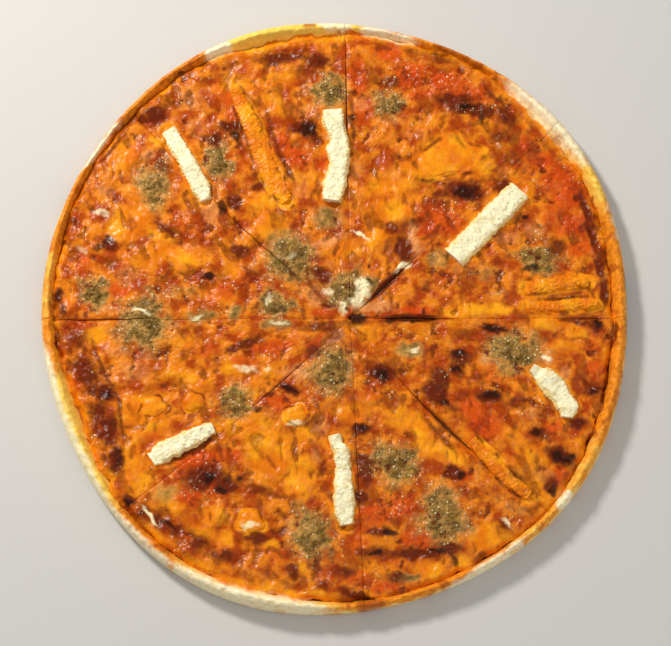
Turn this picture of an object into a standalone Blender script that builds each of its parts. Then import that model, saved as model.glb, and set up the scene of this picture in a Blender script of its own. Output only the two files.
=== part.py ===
"""Four cheese pizza cut into eight slices, in metres with +Z up.

Every slice has a dough base with a raised rim, a layer of sauce and a layer of melted cheese.
White brie strips, blue cheese clumps and cheddar pieces lie in shallow pockets of the cheese.
Plan positions below are in millimetres, from a point close to the middle of the pizza.
"""
import math
from collections import namedtuple

import bmesh
import bpy
from mathutils import Matrix, Vector

MM = 0.001

# Outline of the whole pizza
PIZZA_RADIUS = 146.8
EDGE_WAVES = ((1, 1.9, 0.1), (2, -3.4, 0.2), (3, 0.6, 0.3), (4, -0.5, -0.1), (5, -1.2, 0.2))
HUB_X = 8.9
HUB_Y = -7.9

# Heights of the layers
DOUGH_TOP = 4.5
SAUCE_BOTTOM = 4.8
SAUCE_TOP = 5.5
CHEESE_BOTTOM = 5.8
CHEESE_TOP = 8.7
CHEESE_LIP = 6.7
SIDE_HEIGHT = 3.6
UNDERCUT = 2.4

# Plan distances at the rim
CREST_SHARE = 0.45
SAUCE_CLEARANCE = 0.3
CHEESE_SETBACK = 1.8
CHEESE_SETBACK_WAVE = 0.7
CHEESE_SETBACK_LOBES = 11
CHEESE_ROUNDING = 1.6
CHEESE_SHOULDER = 0.8
SHOULDER_DROP = 0.45

# Cuts between the slices
HUB_GAP = 1.2
HUB_GAP_REACH = 0.05
TIP_SHARE = 0.022

# Mesh divisions
DOUGH_COLUMNS = 10
CHEESE_COLUMNS = 12
DOUGH_ROWS = 6
CHEESE_ROWS = 11
RIM_SHARES = (0.72, 0.45, 0.22, 0.07, 0.0)
CLUMP_SIDES = 12

# Toppings
TOPPING_BOTTOM = 7.0
POCKET_BOTTOM = 6.7
POCKET_TOP = 20.0
POCKET_GROWTH = 0.35
STRIP_FOOT = 0.97
STRIP_SIDE = 0.4
STRIP_UNEVEN = 0.12
WOBBLE_LOBES = (3, 5)
SHARP_ANGLE = math.radians(38)
MERGE_DISTANCE = 0.00004

# Angle in degrees, width and crest height of the rim
RimPlace = namedtuple("RimPlace", "angle width height")
RIM_PLACES = (
    RimPlace(0, 9.2, 11.6),
    RimPlace(40, 9.8, 12.0),
    RimPlace(62, 4.6, 9.6),
    RimPlace(75, 5.6, 9.9),
    RimPlace(95, 10.4, 12.4),
    RimPlace(125, 6.6, 10.4),
    RimPlace(150, 5.4, 9.8),
    RimPlace(172, 7.4, 10.8),
    RimPlace(198, 10.6, 12.2),
    RimPlace(235, 7.6, 10.6),
    RimPlace(256, 9.4, 11.6),
    RimPlace(278, 6.0, 10.0),
    RimPlace(312, 6.4, 10.4),
    RimPlace(335, 8.6, 11.4),
)

# End angle in degrees, sideways bow, gap, and an extra gap with its place and spread along the cut
Cut = namedtuple("Cut", "end bow gap extra place spread")
CUTS = (
    Cut(-3.2, 0.0, 0.45, 1.5, 0.22, 0.10),
    Cut(39.5, 0.0, 0.45, 1.2, 0.17, 0.09),
    Cut(87.4, 0.0, 0.45, 0.5, 0.62, 0.18),
    Cut(134.8, 4.6, 0.45, 0.3, 0.35, 0.15),
    Cut(183.6, 0.0, 0.45, 0.5, 0.80, 0.15),
    Cut(225.6, 2.7, 0.45, 0.4, 0.30, 0.12),
    Cut(275.9, 0.0, 0.45, 0.1, 0.50, 0.20),
    Cut(315.2, -5.8, 0.45, 0.7, 0.50, 0.18),
)
SLICE_COUNT = len(CUTS)

# Wave length, height, direction in degrees and phase of the cheese relief
RELIEF_WAVES = ((27.0, 0.28, 20, 0.4), (19.0, 0.26, 75, 1.9), (14.0, 0.24, 130, 4.0), (11.0, 0.18, 47, 2.6))

# Strips and long pieces: name, slices they lie on, height, and places along them (x, y, half width)
Strip = namedtuple("Strip", "name slices height places")
BRIE_STRIPS = (
    Strip("brie_1", (3, 4), 4.4, ((-81.9, 89.5, 4.0), (-75.6, 79.2, 4.2), (-69.8, 68.6, 4.6),
                                  (-64.6, 58.5, 4.6), (-62.3, 52.6, 2.8))),
    Strip("brie_2", (3,), 4.6, ((0.2, 100.6, 5.2), (0.6, 96.0, 5.6), (2.0, 90.4, 4.8), (4.2, 85.0, 4.2),
                                (3.2, 79.5, 6.2), (3.9, 71.5, 4.6), (1.2, 60.5, 5.8), (0.0, 52.2, 4.8))),
    Strip("brie_3", (1,), 4.8, ((92.9, 57.6, 6.1), (84.0, 48.0, 6.5), (73.0, 36.6, 6.3), (59.6, 22.6, 6.2))),
    Strip("brie_4", (8,), 4.5, ((96.0, -33.2, 2.0), (101.6, -37.2, 5.0), (106.6, -42.2, 6.2),
                                (109.8, -47.4, 4.9), (112.7, -52.0, 5.4), (112.0, -57.4, 2.6))),
    Strip("brie_5", (6,), 4.7, ((1.6, -66.0, 3.3), (2.4, -70.4, 3.0), (5.0, -74.0, 3.7), (5.2, -80.0, 3.7),
                                (5.7, -88.0, 4.4), (5.8, -97.0, 4.9), (6.2, -103.4, 5.0), (7.2, -108.6, 3.2))),
    Strip("brie_6", (5,), 4.1, ((-85.2, -77.8, 3.8), (-80.0, -74.2, 5.0), (-71.0, -69.6, 4.6),
                                (-62.0, -64.8, 4.2), (-56.0, -62.2, 2.8))),
)
CHEDDAR_LENGTHS = (
    Strip("cheddar_1", (3,), 3.0, ((-49.0, 112.0, 3.0), (-44.0, 101.0, 4.6), (-39.0, 88.0, 5.0),
                                   (-34.0, 75.0, 5.0), (-28.0, 62.0, 4.8), (-22.0, 52.0, 3.4))),
    Strip("cheddar_2", (8,), 3.1, ((66.6, -68.2, 2.9), (75.0, -77.4, 3.6), (84.0, -87.4, 3.8),
                                   (93.0, -94.6, 3.0))),
    Strip("cheddar_3", (1,), 3.0, ((96.0, 7.6, 3.4), (106.0, 9.4, 4.2), (117.0, 10.6, 4.0), (125.0, 10.2, 2.6))),
    Strip("cheddar_4", (1,), 2.8, ((95.0, -2.4, 2.6), (106.0, -1.8, 3.4), (118.0, -1.2, 3.6), (129.0, -0.2, 2.6))),
)

# Round pieces: name, slices they lie on, middle, half sizes, turn in degrees, height and shape number
Clump = namedtuple("Clump", "name slices x y half_length half_width turn height shape")
BLUE_CLUMPS = (
    Clump("blue_1", (3,), -1.4, 111.2, 7.2, 8.2, 0, 4.0, 1.0),
    Clump("blue_2", (4,), -89.0, 60.5, 6.6, 10.4, 15, 3.6, 2.1),
    Clump("blue_3", (3,), -56.5, 73.0, 5.6, 8.4, 10, 3.5, 3.3),
    Clump("blue_4", (4,), -116.0, 4.4, 5.8, 6.4, 0, 3.6, 4.2),
    Clump("blue_5", (4, 5), -91.0, -10.6, 10.2, 11.0, 0, 3.6, 5.4),
    Clump("blue_6", (4,), -27.4, -2.2, 7.0, 4.6, 0, 3.3, 6.5),
    Clump("blue_7", (3, 4), -20.0, 22.0, 9.8, 9.2, 20, 3.6, 7.7),
    Clump("blue_8", (2, 3), 7.6, 6.2, 9.0, 7.4, 30, 3.9, 8.1),
    Clump("blue_9", (6,), 0.0, -33.4, 8.6, 10.2, -10, 3.8, 9.6),
    Clump("blue_10", (5,), -46.0, -49.4, 7.2, 6.0, 20, 3.4, 10.2),
    Clump("blue_11", (8,), 88.0, -23.4, 10.8, 7.2, -12, 3.7, 11.5),
    Clump("blue_12", (1,), 101.0, 21.6, 9.0, 5.2, -15, 3.5, 12.3),
    Clump("blue_13", (6,), -9.6, -113.4, 8.4, 10.0, 25, 3.8, 13.8),
    Clump("blue_14", (7,), 30.0, -79.4, 10.6, 8.0, -10, 3.8, 14.4),
    Clump("blue_15", (7,), 52.0, -105.0, 9.0, 11.6, 15, 4.0, 15.9),
    Clump("blue_16", (2,), 28.6, 104.4, 6.4, 5.8, 0, 3.5, 16.6),
)
CHEDDAR_CHUNKS = (
    Clump("cheddar_5", (6,), -17.0, -56.2, 5.8, 5.4, 4, 3.5, 1.7),
    Clump("cheddar_6", (6,), -37.6, -107.4, 6.8, 5.8, -12, 3.6, 2.9),
    Clump("cheddar_7", (5,), -85.0, -52.4, 6.6, 5.4, 10, 3.0, 3.1),
    Clump("cheddar_8", (5,), -66.4, -49.4, 5.2, 4.6, 0, 2.9, 4.7),
    Clump("cheddar_9", (2,), 58.0, 74.6, 17.0, 9.6, 14, 2.9, 5.2),
)
CLUMP_RINGS = ((0.97, 0.0), (1.0, 0.34), (0.86, 0.74), (0.50, 0.96))
CHUNK_RINGS = ((0.98, 0.0), (1.0, 0.55), (0.90, 0.90), (0.55, 1.0))
CLUMP_WOBBLE = 0.08
CHUNK_WOBBLE = 0.035
CLUMP_CRAGS = 0.35
CHUNK_CRAGS = 0.10

# Colour, roughness of each kind of piece
KIND_LOOKS = {
    "dough": ((0.86, 0.55, 0.24), 0.65),
    "sauce": ((0.62, 0.14, 0.03), 0.45),
    "cheese": ((0.84, 0.36, 0.06), 0.40),
    "brie": ((0.95, 0.91, 0.70), 0.55),
    "blue": ((0.42, 0.40, 0.20), 0.60),
    "cheddar": ((0.93, 0.47, 0.08), 0.38),
}


def edge_radius(angle):
    """Distance from the middle to the outer edge at an angle in radians."""
    waves = sum(c * math.cos(n * angle) + s * math.sin(n * angle) for n, c, s in EDGE_WAVES)
    return PIZZA_RADIUS + waves


def edge_point(angle):
    """Plan position of the outer edge at an angle in radians."""
    radius = edge_radius(angle)
    return Vector((radius * math.cos(angle), radius * math.sin(angle)))


def rim_at(point):
    """Width and crest height of the rim beside a plan position, eased between the named places."""
    angle = math.degrees(math.atan2(point.y, point.x)) % 360
    count = len(RIM_PLACES)
    for index in range(count):
        here = RIM_PLACES[index]
        after = RIM_PLACES[(index + 1) % count]
        span = (after.angle - here.angle) % 360
        along = (angle - here.angle) % 360
        if along <= span:
            ease = 0.5 - 0.5 * math.cos(math.pi * along / span)
            width = here.width + (after.width - here.width) * ease
            return width, here.height + (after.height - here.height) * ease
    return RIM_PLACES[0].width, RIM_PLACES[0].height


def cut_ends(index):
    """First and second cut of a slice numbered from 1, with the second end angle after the first."""
    first = CUTS[index - 1]
    second = CUTS[index % SLICE_COUNT]
    turn = (second.end - first.end) % 360
    return first, second, math.radians(first.end), math.radians(first.end + turn)


def bow_offset(cut, angle, v):
    """Sideways shift of a cut at share v of its length."""
    along = edge_point(angle) - Vector((HUB_X, HUB_Y))
    side = Vector((-along.y, along.x)).normalized()
    return side * (4 * v * (1 - v) * cut.bow)


def sector_point(index, u, v):
    """Plan position at share u between the cuts of a slice and share v from hub to edge."""
    first, second, start, end = cut_ends(index)
    hub = Vector((HUB_X, HUB_Y))
    edge = edge_point(start + (end - start) * u)
    bow = bow_offset(first, start, v) * (1 - u) + bow_offset(second, end, v) * u
    return hub + (edge - hub) * v + bow


def cut_gap(cut, v):
    """Width of a cut at share v of its length."""
    hub = HUB_GAP * math.exp(-v / HUB_GAP_REACH)
    return cut.gap + hub + cut.extra * math.exp(-((v - cut.place) / cut.spread) ** 2)


def slice_point(index, u, v):
    """The same position moved in from both cuts by half their gaps."""
    first, second, start, end = cut_ends(index)
    chord = (sector_point(index, 1, v) - sector_point(index, 0, v)).length
    low = cut_gap(first, v) / 2 / chord
    high = 1 - cut_gap(second, v) / 2 / chord
    return sector_point(index, low + (high - low) * u, v)


def ray_length(index, u):
    """Distance from the hub to the edge along share u of a slice."""
    return (sector_point(index, u, 1) - sector_point(index, u, 0)).length


def share_at(index, u, depth):
    """Share v of the point that lies a depth inside the edge."""
    return 1 - depth / ray_length(index, u)


def relief(point):
    """Uneven height of the melted cheese: a sum of slanted sine waves."""
    total = 0.0
    for wave_length, height, direction, phase in RELIEF_WAVES:
        turn = math.radians(direction)
        along = point.x * math.cos(turn) + point.y * math.sin(turn)
        total += height * math.sin(2 * math.pi * along / wave_length + phase)
    return total


def under_height(depth):
    """Height of the rounded underside at a depth inside the edge."""
    if depth >= UNDERCUT:
        return 0.0
    across = 1 - depth / UNDERCUT
    return SIDE_HEIGHT * (1 - math.sqrt(1 - across * across))


def rim_height(share, crest):
    """Height of the rim's top at a share of its width from the edge."""
    if share < CREST_SHARE:
        across = 1 - share / CREST_SHARE
        return SIDE_HEIGHT + (crest - SIDE_HEIGHT) * math.sqrt(1 - across * across)
    fall = (share - CREST_SHARE) / (1 - CREST_SHARE)
    return DOUGH_TOP + (crest - DOUGH_TOP) * (0.5 + 0.5 * math.cos(math.pi * fall))


def make_object(name, verts, faces):
    """A mesh object from positions in millimetres, with outward normals."""
    mesh = bpy.data.meshes.new(name)
    mesh.from_pydata([(x * MM, y * MM, z * MM) for x, y, z in verts], [], faces)
    obj = bpy.data.objects.new(name, mesh)
    bpy.context.scene.collection.objects.link(obj)
    work = bmesh.new()
    work.from_mesh(mesh)
    unused = [vert for vert in work.verts if not vert.link_faces]
    bmesh.ops.delete(work, geom=unused, context='VERTS')
    bmesh.ops.recalc_face_normals(work, faces=work.faces)
    work.to_mesh(mesh)
    work.free()
    return obj


def layer_object(name, tip, rows, flat_rows, sealed_edge):
    """A wedge layer between a top and a bottom height over rows of columns.

    Each row holds (x, y, bottom, top) entries. The bottoms of the first rows form one flat face.
    With a sealed edge, the last row's top and bottom are one line of points.
    """
    verts = [(tip[0], tip[1], tip[2]), (tip[0], tip[1], tip[3])]
    lows = []
    highs = []
    last = len(rows) - 1
    for number, row in enumerate(rows):
        low_row = []
        high_row = []
        for x, y, low, high in row:
            low_row.append(len(verts))
            verts.append((x, y, low))
            if number == last and sealed_edge:
                high_row.append(low_row[-1])
            else:
                high_row.append(len(verts))
                verts.append((x, y, high))
        lows.append(low_row)
        highs.append(high_row)
    columns = len(rows[0]) - 1
    faces = [(1, highs[0][c], highs[0][c + 1]) for c in range(columns)]
    for r in range(last):
        for c in range(columns):
            faces.append((highs[r][c], highs[r + 1][c], highs[r + 1][c + 1], highs[r][c + 1]))
    outline = [0] + [lows[r][0] for r in range(flat_rows)] + lows[flat_rows - 1][1:]
    outline += [lows[r][columns] for r in range(flat_rows - 2, -1, -1)]
    faces.append(tuple(outline))
    for r in range(flat_rows - 1, last):
        for c in range(columns):
            faces.append((lows[r][c], lows[r][c + 1], lows[r + 1][c + 1], lows[r + 1][c]))
    for c in (0, columns):
        faces.append((0, 1, highs[0][c], lows[0][c]))
        for r in range(last):
            corners = (lows[r][c], highs[r][c], highs[r + 1][c], lows[r + 1][c])
            faces.append(tuple(dict.fromkeys(corners)))
    if not sealed_edge:
        for c in range(columns):
            faces.append((lows[last][c], highs[last][c], highs[last][c + 1], lows[last][c + 1]))
    return make_object(name, verts, faces)


def tip_of(index):
    """Plan position of the pointed end of a slice."""
    return sector_point(index, 0.5, TIP_SHARE)


def dough_slice(index):
    """Flat base with a rounded, uneven rim."""
    tip = tip_of(index)
    rows = []
    for number in range(1, DOUGH_ROWS + 1):
        row = []
        for column in range(DOUGH_COLUMNS + 1):
            u = column / DOUGH_COLUMNS
            width, crest = rim_at(sector_point(index, u, 1))
            v = TIP_SHARE + (share_at(index, u, width) - TIP_SHARE) * number / DOUGH_ROWS
            point = slice_point(index, u, v)
            row.append((point.x, point.y, 0.0, DOUGH_TOP))
        rows.append(row)
    for share in RIM_SHARES:
        row = []
        for column in range(DOUGH_COLUMNS + 1):
            u = column / DOUGH_COLUMNS
            width, crest = rim_at(sector_point(index, u, 1))
            point = slice_point(index, u, share_at(index, u, share * width))
            low = under_height(share * width)
            row.append((point.x, point.y, low, rim_height(share, crest)))
        rows.append(row)
    return layer_object(f"dough_{index}", (tip.x, tip.y, 0.0, DOUGH_TOP), rows, DOUGH_ROWS + 1, True)


def sauce_slice(index):
    """Thin flat layer that ends just inside the rim."""
    tip = tip_of(index)
    rows = []
    for number in range(1, DOUGH_ROWS + 1):
        row = []
        for column in range(DOUGH_COLUMNS + 1):
            u = column / DOUGH_COLUMNS
            width, crest = rim_at(sector_point(index, u, 1))
            edge = share_at(index, u, width + SAUCE_CLEARANCE)
            point = slice_point(index, u, TIP_SHARE + (edge - TIP_SHARE) * number / DOUGH_ROWS)
            row.append((point.x, point.y, SAUCE_BOTTOM, SAUCE_TOP))
        rows.append(row)
    return layer_object(f"sauce_{index}", (tip.x, tip.y, SAUCE_BOTTOM, SAUCE_TOP), rows, DOUGH_ROWS, False)


def cheese_edge_depth(index, u):
    """Depth of the wavy outer edge of the cheese inside the pizza's edge."""
    edge = sector_point(index, u, 1)
    width, crest = rim_at(edge)
    angle = math.atan2(edge.y, edge.x)
    return width + CHEESE_SETBACK + CHEESE_SETBACK_WAVE * math.sin(CHEESE_SETBACK_LOBES * angle)


def cheese_slice(index):
    """Uneven melted layer with a rounded outer edge."""
    tip = tip_of(index)
    rows = []
    depths = [cheese_edge_depth(index, c / CHEESE_COLUMNS) for c in range(CHEESE_COLUMNS + 1)]
    for number in range(1, CHEESE_ROWS + 3):
        row = []
        for column in range(CHEESE_COLUMNS + 1):
            u = column / CHEESE_COLUMNS
            inner = share_at(index, u, depths[column] + 2 * CHEESE_ROUNDING)
            if number <= CHEESE_ROWS:
                v = TIP_SHARE + (inner - TIP_SHARE) * number / CHEESE_ROWS
            elif number == CHEESE_ROWS + 1:
                v = share_at(index, u, depths[column] + CHEESE_SHOULDER)
            else:
                v = share_at(index, u, depths[column])
            point = slice_point(index, u, v)
            top = CHEESE_TOP + relief(point)
            if number == CHEESE_ROWS + 1:
                top += (CHEESE_LIP - top) * SHOULDER_DROP
            elif number == CHEESE_ROWS + 2:
                top = CHEESE_LIP
            row.append((point.x, point.y, CHEESE_BOTTOM, top))
        rows.append(row)
    top = CHEESE_TOP + relief(tip)
    return layer_object(f"cheese_{index}", (tip.x, tip.y, CHEESE_BOTTOM, top), rows, CHEESE_ROWS + 2, False)


def slice_prism(index):
    """Upright guide that holds everything between the two cuts of a slice."""
    shares = [TIP_SHARE + (1 - TIP_SHARE) * k / CHEESE_ROWS for k in range(1, CHEESE_ROWS + 1)]
    plan = [tip_of(index)]
    plan += [slice_point(index, 0, v) for v in shares]
    plan += [slice_point(index, c / CHEESE_COLUMNS, 1) for c in range(1, CHEESE_COLUMNS)]
    plan += [slice_point(index, 1, v) for v in reversed(shares)]
    return prism(f"guide_{index}", [(p.x, p.y) for p in plan], 0.0)


def prism(name, plan, bottom):
    """Upright cutter over a plan outline, hidden from renders."""
    count = len(plan)
    verts = [(x, y, bottom) for x, y in plan] + [(x, y, POCKET_TOP) for x, y in plan]
    faces = [tuple(range(count - 1, -1, -1)), tuple(range(count, 2 * count))]
    for k in range(count):
        after = (k + 1) % count
        faces.append((k, after, count + after, count + k))
    obj = make_object(name, verts, faces)
    obj.hide_render = True
    obj.display_type = 'WIRE'
    return obj


def strip_frames(strip, growth):
    """Middle, side direction and half width at each place along a strip."""
    points = [Vector((x, y)) for x, y, half in strip.places]
    frames = []
    last = len(points) - 1
    for k, point in enumerate(points):
        along = (points[min(k + 1, last)] - points[max(k - 1, 0)]).normalized()
        if k == 0:
            point = point - along * growth
        if k == last:
            point = point + along * growth
        frames.append((point, Vector((-along.y, along.x)), strip.places[k][2] + growth))
    return frames


def strip_object(strip, shoulder, crown):
    """A long piece: an upright section with rounded shoulders carried along its places."""
    height = strip.height
    verts = []
    for number, (middle, side, half) in enumerate(strip_frames(strip, 0.0)):
        lift = STRIP_UNEVEN * height * math.sin(2 * number + half)
        section = (
            (STRIP_FOOT * half, 0.0),
            (half, STRIP_SIDE * height),
            (half - shoulder, crown * height + lift),
            (0.0, height + lift),
            (shoulder - half, crown * height + lift),
            (-half, STRIP_SIDE * height),
            (-STRIP_FOOT * half, 0.0),
        )
        for across, up in section:
            spot = middle + side * across
            verts.append((spot.x, spot.y, TOPPING_BOTTOM + up))
    ring = len(section)
    stations = len(strip.places)
    faces = [tuple(range(ring)), tuple(range((stations - 1) * ring, stations * ring))]
    for s in range(stations - 1):
        for k in range(ring):
            after = (k + 1) % ring
            faces.append((s * ring + k, s * ring + after, (s + 1) * ring + after, (s + 1) * ring + k))
    return make_object(strip.name, verts, faces)


def strip_pocket(strip, name):
    """Cutter over the grown outline of a strip."""
    frames = strip_frames(strip, POCKET_GROWTH)
    left = [middle + side * half for middle, side, half in frames]
    right = [middle - side * half for middle, side, half in frames]
    plan = [(p.x, p.y) for p in right + left[::-1]]
    return prism(name, plan, POCKET_BOTTOM)


def clump_plan(clump, share, wobble, growth):
    """Points round a clump at a share of its size."""
    turn = math.radians(clump.turn)
    plan = []
    for k in range(CLUMP_SIDES):
        angle = 2 * math.pi * k / CLUMP_SIDES
        uneven = 1 + wobble * sum(math.sin(lobes * angle + clump.shape * lobes) for lobes in WOBBLE_LOBES)
        along = (clump.half_length * uneven * share + growth) * math.cos(angle)
        across = (clump.half_width * uneven * share + growth) * math.sin(angle)
        x = clump.x + along * math.cos(turn) - across * math.sin(turn)
        y = clump.y + along * math.sin(turn) + across * math.cos(turn)
        plan.append((x, y))
    return plan


def clump_object(clump, rings, wobble, crags):
    """A low mound: uneven rings that narrow upwards to a top point."""
    verts = []
    for number, (share, rise) in enumerate(rings):
        for k, (x, y) in enumerate(clump_plan(clump, share, wobble, 0.0)):
            rough = crags * math.sin(3 * k + 2 * number + clump.shape) if number > 1 else 0.0
            verts.append((x, y, TOPPING_BOTTOM + clump.height * rise + rough))
    top = len(verts)
    verts.append((clump.x, clump.y, TOPPING_BOTTOM + clump.height))
    sides = CLUMP_SIDES
    faces = [tuple(range(sides - 1, -1, -1))]
    for r in range(len(rings) - 1):
        for k in range(sides):
            after = (k + 1) % sides
            faces.append((r * sides + k, r * sides + after, (r + 1) * sides + after, (r + 1) * sides + k))
    crown = (len(rings) - 1) * sides
    faces += [(crown + k, crown + (k + 1) % sides, top) for k in range(sides)]
    return make_object(clump.name, verts, faces)


def evaluated(obj):
    """Replace an object's mesh by the result of its modifiers."""
    depsgraph = bpy.context.evaluated_depsgraph_get()
    depsgraph.update()
    result = bpy.data.meshes.new_from_object(obj.evaluated_get(depsgraph))
    obj.modifiers.clear()
    obj.data = result


def cut_with(obj, cutter, operation):
    """Apply one exact Boolean with a single cutter."""
    modifier = obj.modifiers.new("cut", 'BOOLEAN')
    modifier.operation = operation
    modifier.solver = 'EXACT'
    modifier.object = cutter
    evaluated(obj)


def cut_pockets(cheese, pockets):
    """Take all pockets of one slice out of its cheese."""
    holder = bpy.data.collections.new("pockets")
    bpy.context.scene.collection.children.link(holder)
    for pocket in pockets:
        holder.objects.link(pocket)
    modifier = cheese.modifiers.new("pockets", 'BOOLEAN')
    modifier.operation = 'DIFFERENCE'
    modifier.solver = 'EXACT'
    modifier.operand_type = 'COLLECTION'
    modifier.collection = holder
    evaluated(cheese)
    for pocket in pockets:
        bpy.data.objects.remove(pocket)
    bpy.data.collections.remove(holder)


def finish_mesh(obj, shift):
    """Centre, clean and triangulate a finished solid, smooth except at sharp edges."""
    mesh = obj.data
    mesh.transform(Matrix.Translation(shift))
    work = bmesh.new()
    work.from_mesh(mesh)
    bmesh.ops.remove_doubles(work, verts=work.verts, dist=MERGE_DISTANCE)
    bmesh.ops.dissolve_degenerate(work, edges=work.edges, dist=MERGE_DISTANCE)
    bmesh.ops.triangulate(work, faces=work.faces)
    bmesh.ops.recalc_face_normals(work, faces=work.faces)
    for face in work.faces:
        face.smooth = True
    for edge in work.edges:
        edge.smooth = edge.calc_face_angle(math.pi) < SHARP_ANGLE
    work.to_mesh(mesh)
    work.free()


def paint(obj):
    """Give a node its own plain material."""
    colour, roughness = KIND_LOOKS[obj.name.split("_")[0]]
    material = bpy.data.materials.new(obj.name)
    material.use_nodes = True
    shader = material.node_tree.nodes["Principled BSDF"]
    shader.inputs["Base Color"].default_value = (*colour, 1.0)
    shader.inputs["Roughness"].default_value = roughness
    shader.inputs["Metallic"].default_value = 0.0
    obj.data.materials.clear()
    obj.data.materials.append(material)


def place_topping(whole, slices, guides):
    """Keep the part of a topping that lies on each of its slices; a divided one gives several nodes."""
    pieces = []
    name = whole.name
    for index in slices:
        piece = bpy.data.objects.new(name, whole.data.copy())
        bpy.context.scene.collection.objects.link(piece)
        cut_with(piece, guides[index], 'INTERSECT')
        pieces.append(piece)
    bpy.data.objects.remove(whole)
    for number, piece in enumerate(pieces):
        piece.name = name if len(pieces) == 1 else name + "ab"[number]
    return pieces


def build():
    """Make every node of the pizza."""
    for obj in list(bpy.data.objects):
        bpy.data.objects.remove(obj)
    indices = range(1, SLICE_COUNT + 1)
    guides = {index: slice_prism(index) for index in indices}
    pockets = {index: [] for index in indices}
    nodes = []
    for strips, shoulder, crown in ((BRIE_STRIPS, 0.9, 0.92), (CHEDDAR_LENGTHS, 1.4, 0.86)):
        for strip in strips:
            for index in strip.slices:
                pockets[index].append(strip_pocket(strip, f"pocket_{strip.name}_{index}"))
            nodes += place_topping(strip_object(strip, shoulder, crown), strip.slices, guides)
    kinds = (
        (BLUE_CLUMPS, CLUMP_RINGS, CLUMP_WOBBLE, CLUMP_CRAGS),
        (CHEDDAR_CHUNKS, CHUNK_RINGS, CHUNK_WOBBLE, CHUNK_CRAGS),
    )
    for clumps, rings, wobble, crags in kinds:
        for clump in clumps:
            plan = clump_plan(clump, 1.0, wobble, POCKET_GROWTH)
            for index in clump.slices:
                pockets[index].append(prism(f"pocket_{clump.name}_{index}", plan, POCKET_BOTTOM))
            nodes += place_topping(clump_object(clump, rings, wobble, crags), clump.slices, guides)
    for index in indices:
        cheese = cheese_slice(index)
        cut_pockets(cheese, pockets[index])
        nodes += [dough_slice(index), sauce_slice(index), cheese]
    for guide in guides.values():
        bpy.data.objects.remove(guide)
    corners = [v.co for node in nodes for v in node.data.vertices]
    middle_x = (min(c.x for c in corners) + max(c.x for c in corners)) / 2
    middle_y = (min(c.y for c in corners) + max(c.y for c in corners)) / 2
    for node in nodes:
        finish_mesh(node, Vector((-middle_x, -middle_y, 0.0)))
        paint(node)


build()
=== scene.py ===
"""The looks of a four cheese pizza, laid out as an add-on: crust, sauce, melted cheese and toppings."""

import math

import bpy
import numpy as np
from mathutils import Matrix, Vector


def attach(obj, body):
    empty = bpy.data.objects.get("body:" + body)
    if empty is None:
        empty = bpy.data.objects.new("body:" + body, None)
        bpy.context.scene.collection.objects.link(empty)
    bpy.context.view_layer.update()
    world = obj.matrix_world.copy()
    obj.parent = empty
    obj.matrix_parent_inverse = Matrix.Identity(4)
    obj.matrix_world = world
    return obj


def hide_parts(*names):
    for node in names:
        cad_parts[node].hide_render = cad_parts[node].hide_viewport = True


bl_info = {
    "name": "Four cheese pizza",
    "version": (1, 0, 0),
    "blender": (4, 5, 0),
    "location": "View3D > Sidebar > Pizza",
    "description": "Builds a four cheese pizza cut into eight slices",
    "category": "Add Mesh",
}

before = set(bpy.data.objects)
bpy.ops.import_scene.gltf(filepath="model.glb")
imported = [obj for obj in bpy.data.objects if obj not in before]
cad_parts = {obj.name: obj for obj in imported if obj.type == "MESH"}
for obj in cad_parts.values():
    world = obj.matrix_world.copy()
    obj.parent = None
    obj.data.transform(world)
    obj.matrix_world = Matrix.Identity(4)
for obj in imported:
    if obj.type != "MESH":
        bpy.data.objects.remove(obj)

# Plan of the pizza, in millimetres and degrees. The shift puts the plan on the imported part.
MM = 0.001
SHIFT = (-1.303, 0.031)
RADIUS = 146.8
EDGE_WAVES = ((1, 1.9, 0.1), (2, -3.4, 0.2), (3, 0.6, 0.3), (4, -0.5, -0.1), (5, -1.2, 0.2))
HUB = (8.9, -7.9)
HUB_GAP = 0.12
HUB_GAP_REACH = 0.05
TIP_SHARE = 0.006
CLOSED_SHARE = 0.18
SLICES = range(1, 9)

# Cuts: (direction, bow, width, added width where it has opened, share of the length there, reach of that).
CUTS = (
    (-3.2, 0.0, 0.45, 1.5, 0.22, 0.10),
    (39.5, 0.0, 0.45, 1.2, 0.17, 0.09),
    (87.4, 0.0, 0.45, 0.5, 0.62, 0.18),
    (134.8, 4.6, 0.45, 0.3, 0.35, 0.15),
    (183.6, 0.0, 0.45, 0.5, 0.80, 0.15),
    (225.6, 2.7, 0.45, 0.4, 0.30, 0.12),
    (275.9, 0.0, 0.45, 0.1, 0.50, 0.20),
    (315.2, -5.8, 0.45, 0.7, 0.50, 0.18),
)

# Heights and edges of the layers. Relief waves: (length, height, direction, phase).
DOUGH_TOP = 4.5
SAUCE_BOTTOM = 4.8
SAUCE_TOP = 5.5
SAUCE_MARGIN = 0.3
CHEESE_BOTTOM = 5.8
CHEESE_TOP = 8.7
CHEESE_LIP = 6.7
CHEESE_REACH = 0.8
CHEESE_LOBES = 11
CHEESE_ROUNDING = 1.6
SIDE_HEIGHT = 3.6
UNDERCUT = 2.4
CREST_SHARE = 0.45
RELIEF_WAVES = (
    (27.0, 0.28, 20.0, 0.4), (19.0, 0.26, 75.0, 1.9), (14.0, 0.24, 130.0, 4.0), (11.0, 0.18, 47.0, 2.6),
)

# The rim: (direction, width, height of its crest).
RIM_PLACES = (
    (0, 9.2, 11.6), (40, 9.8, 12.0), (62, 4.6, 9.6), (75, 5.6, 9.9), (95, 10.4, 12.4), (125, 6.6, 10.4),
    (150, 5.4, 9.8), (172, 7.4, 10.8), (198, 10.6, 12.2), (235, 7.6, 10.6), (256, 9.4, 11.6),
    (278, 6.0, 10.0), (312, 6.4, 10.4), (335, 8.6, 11.4),
)

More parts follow.
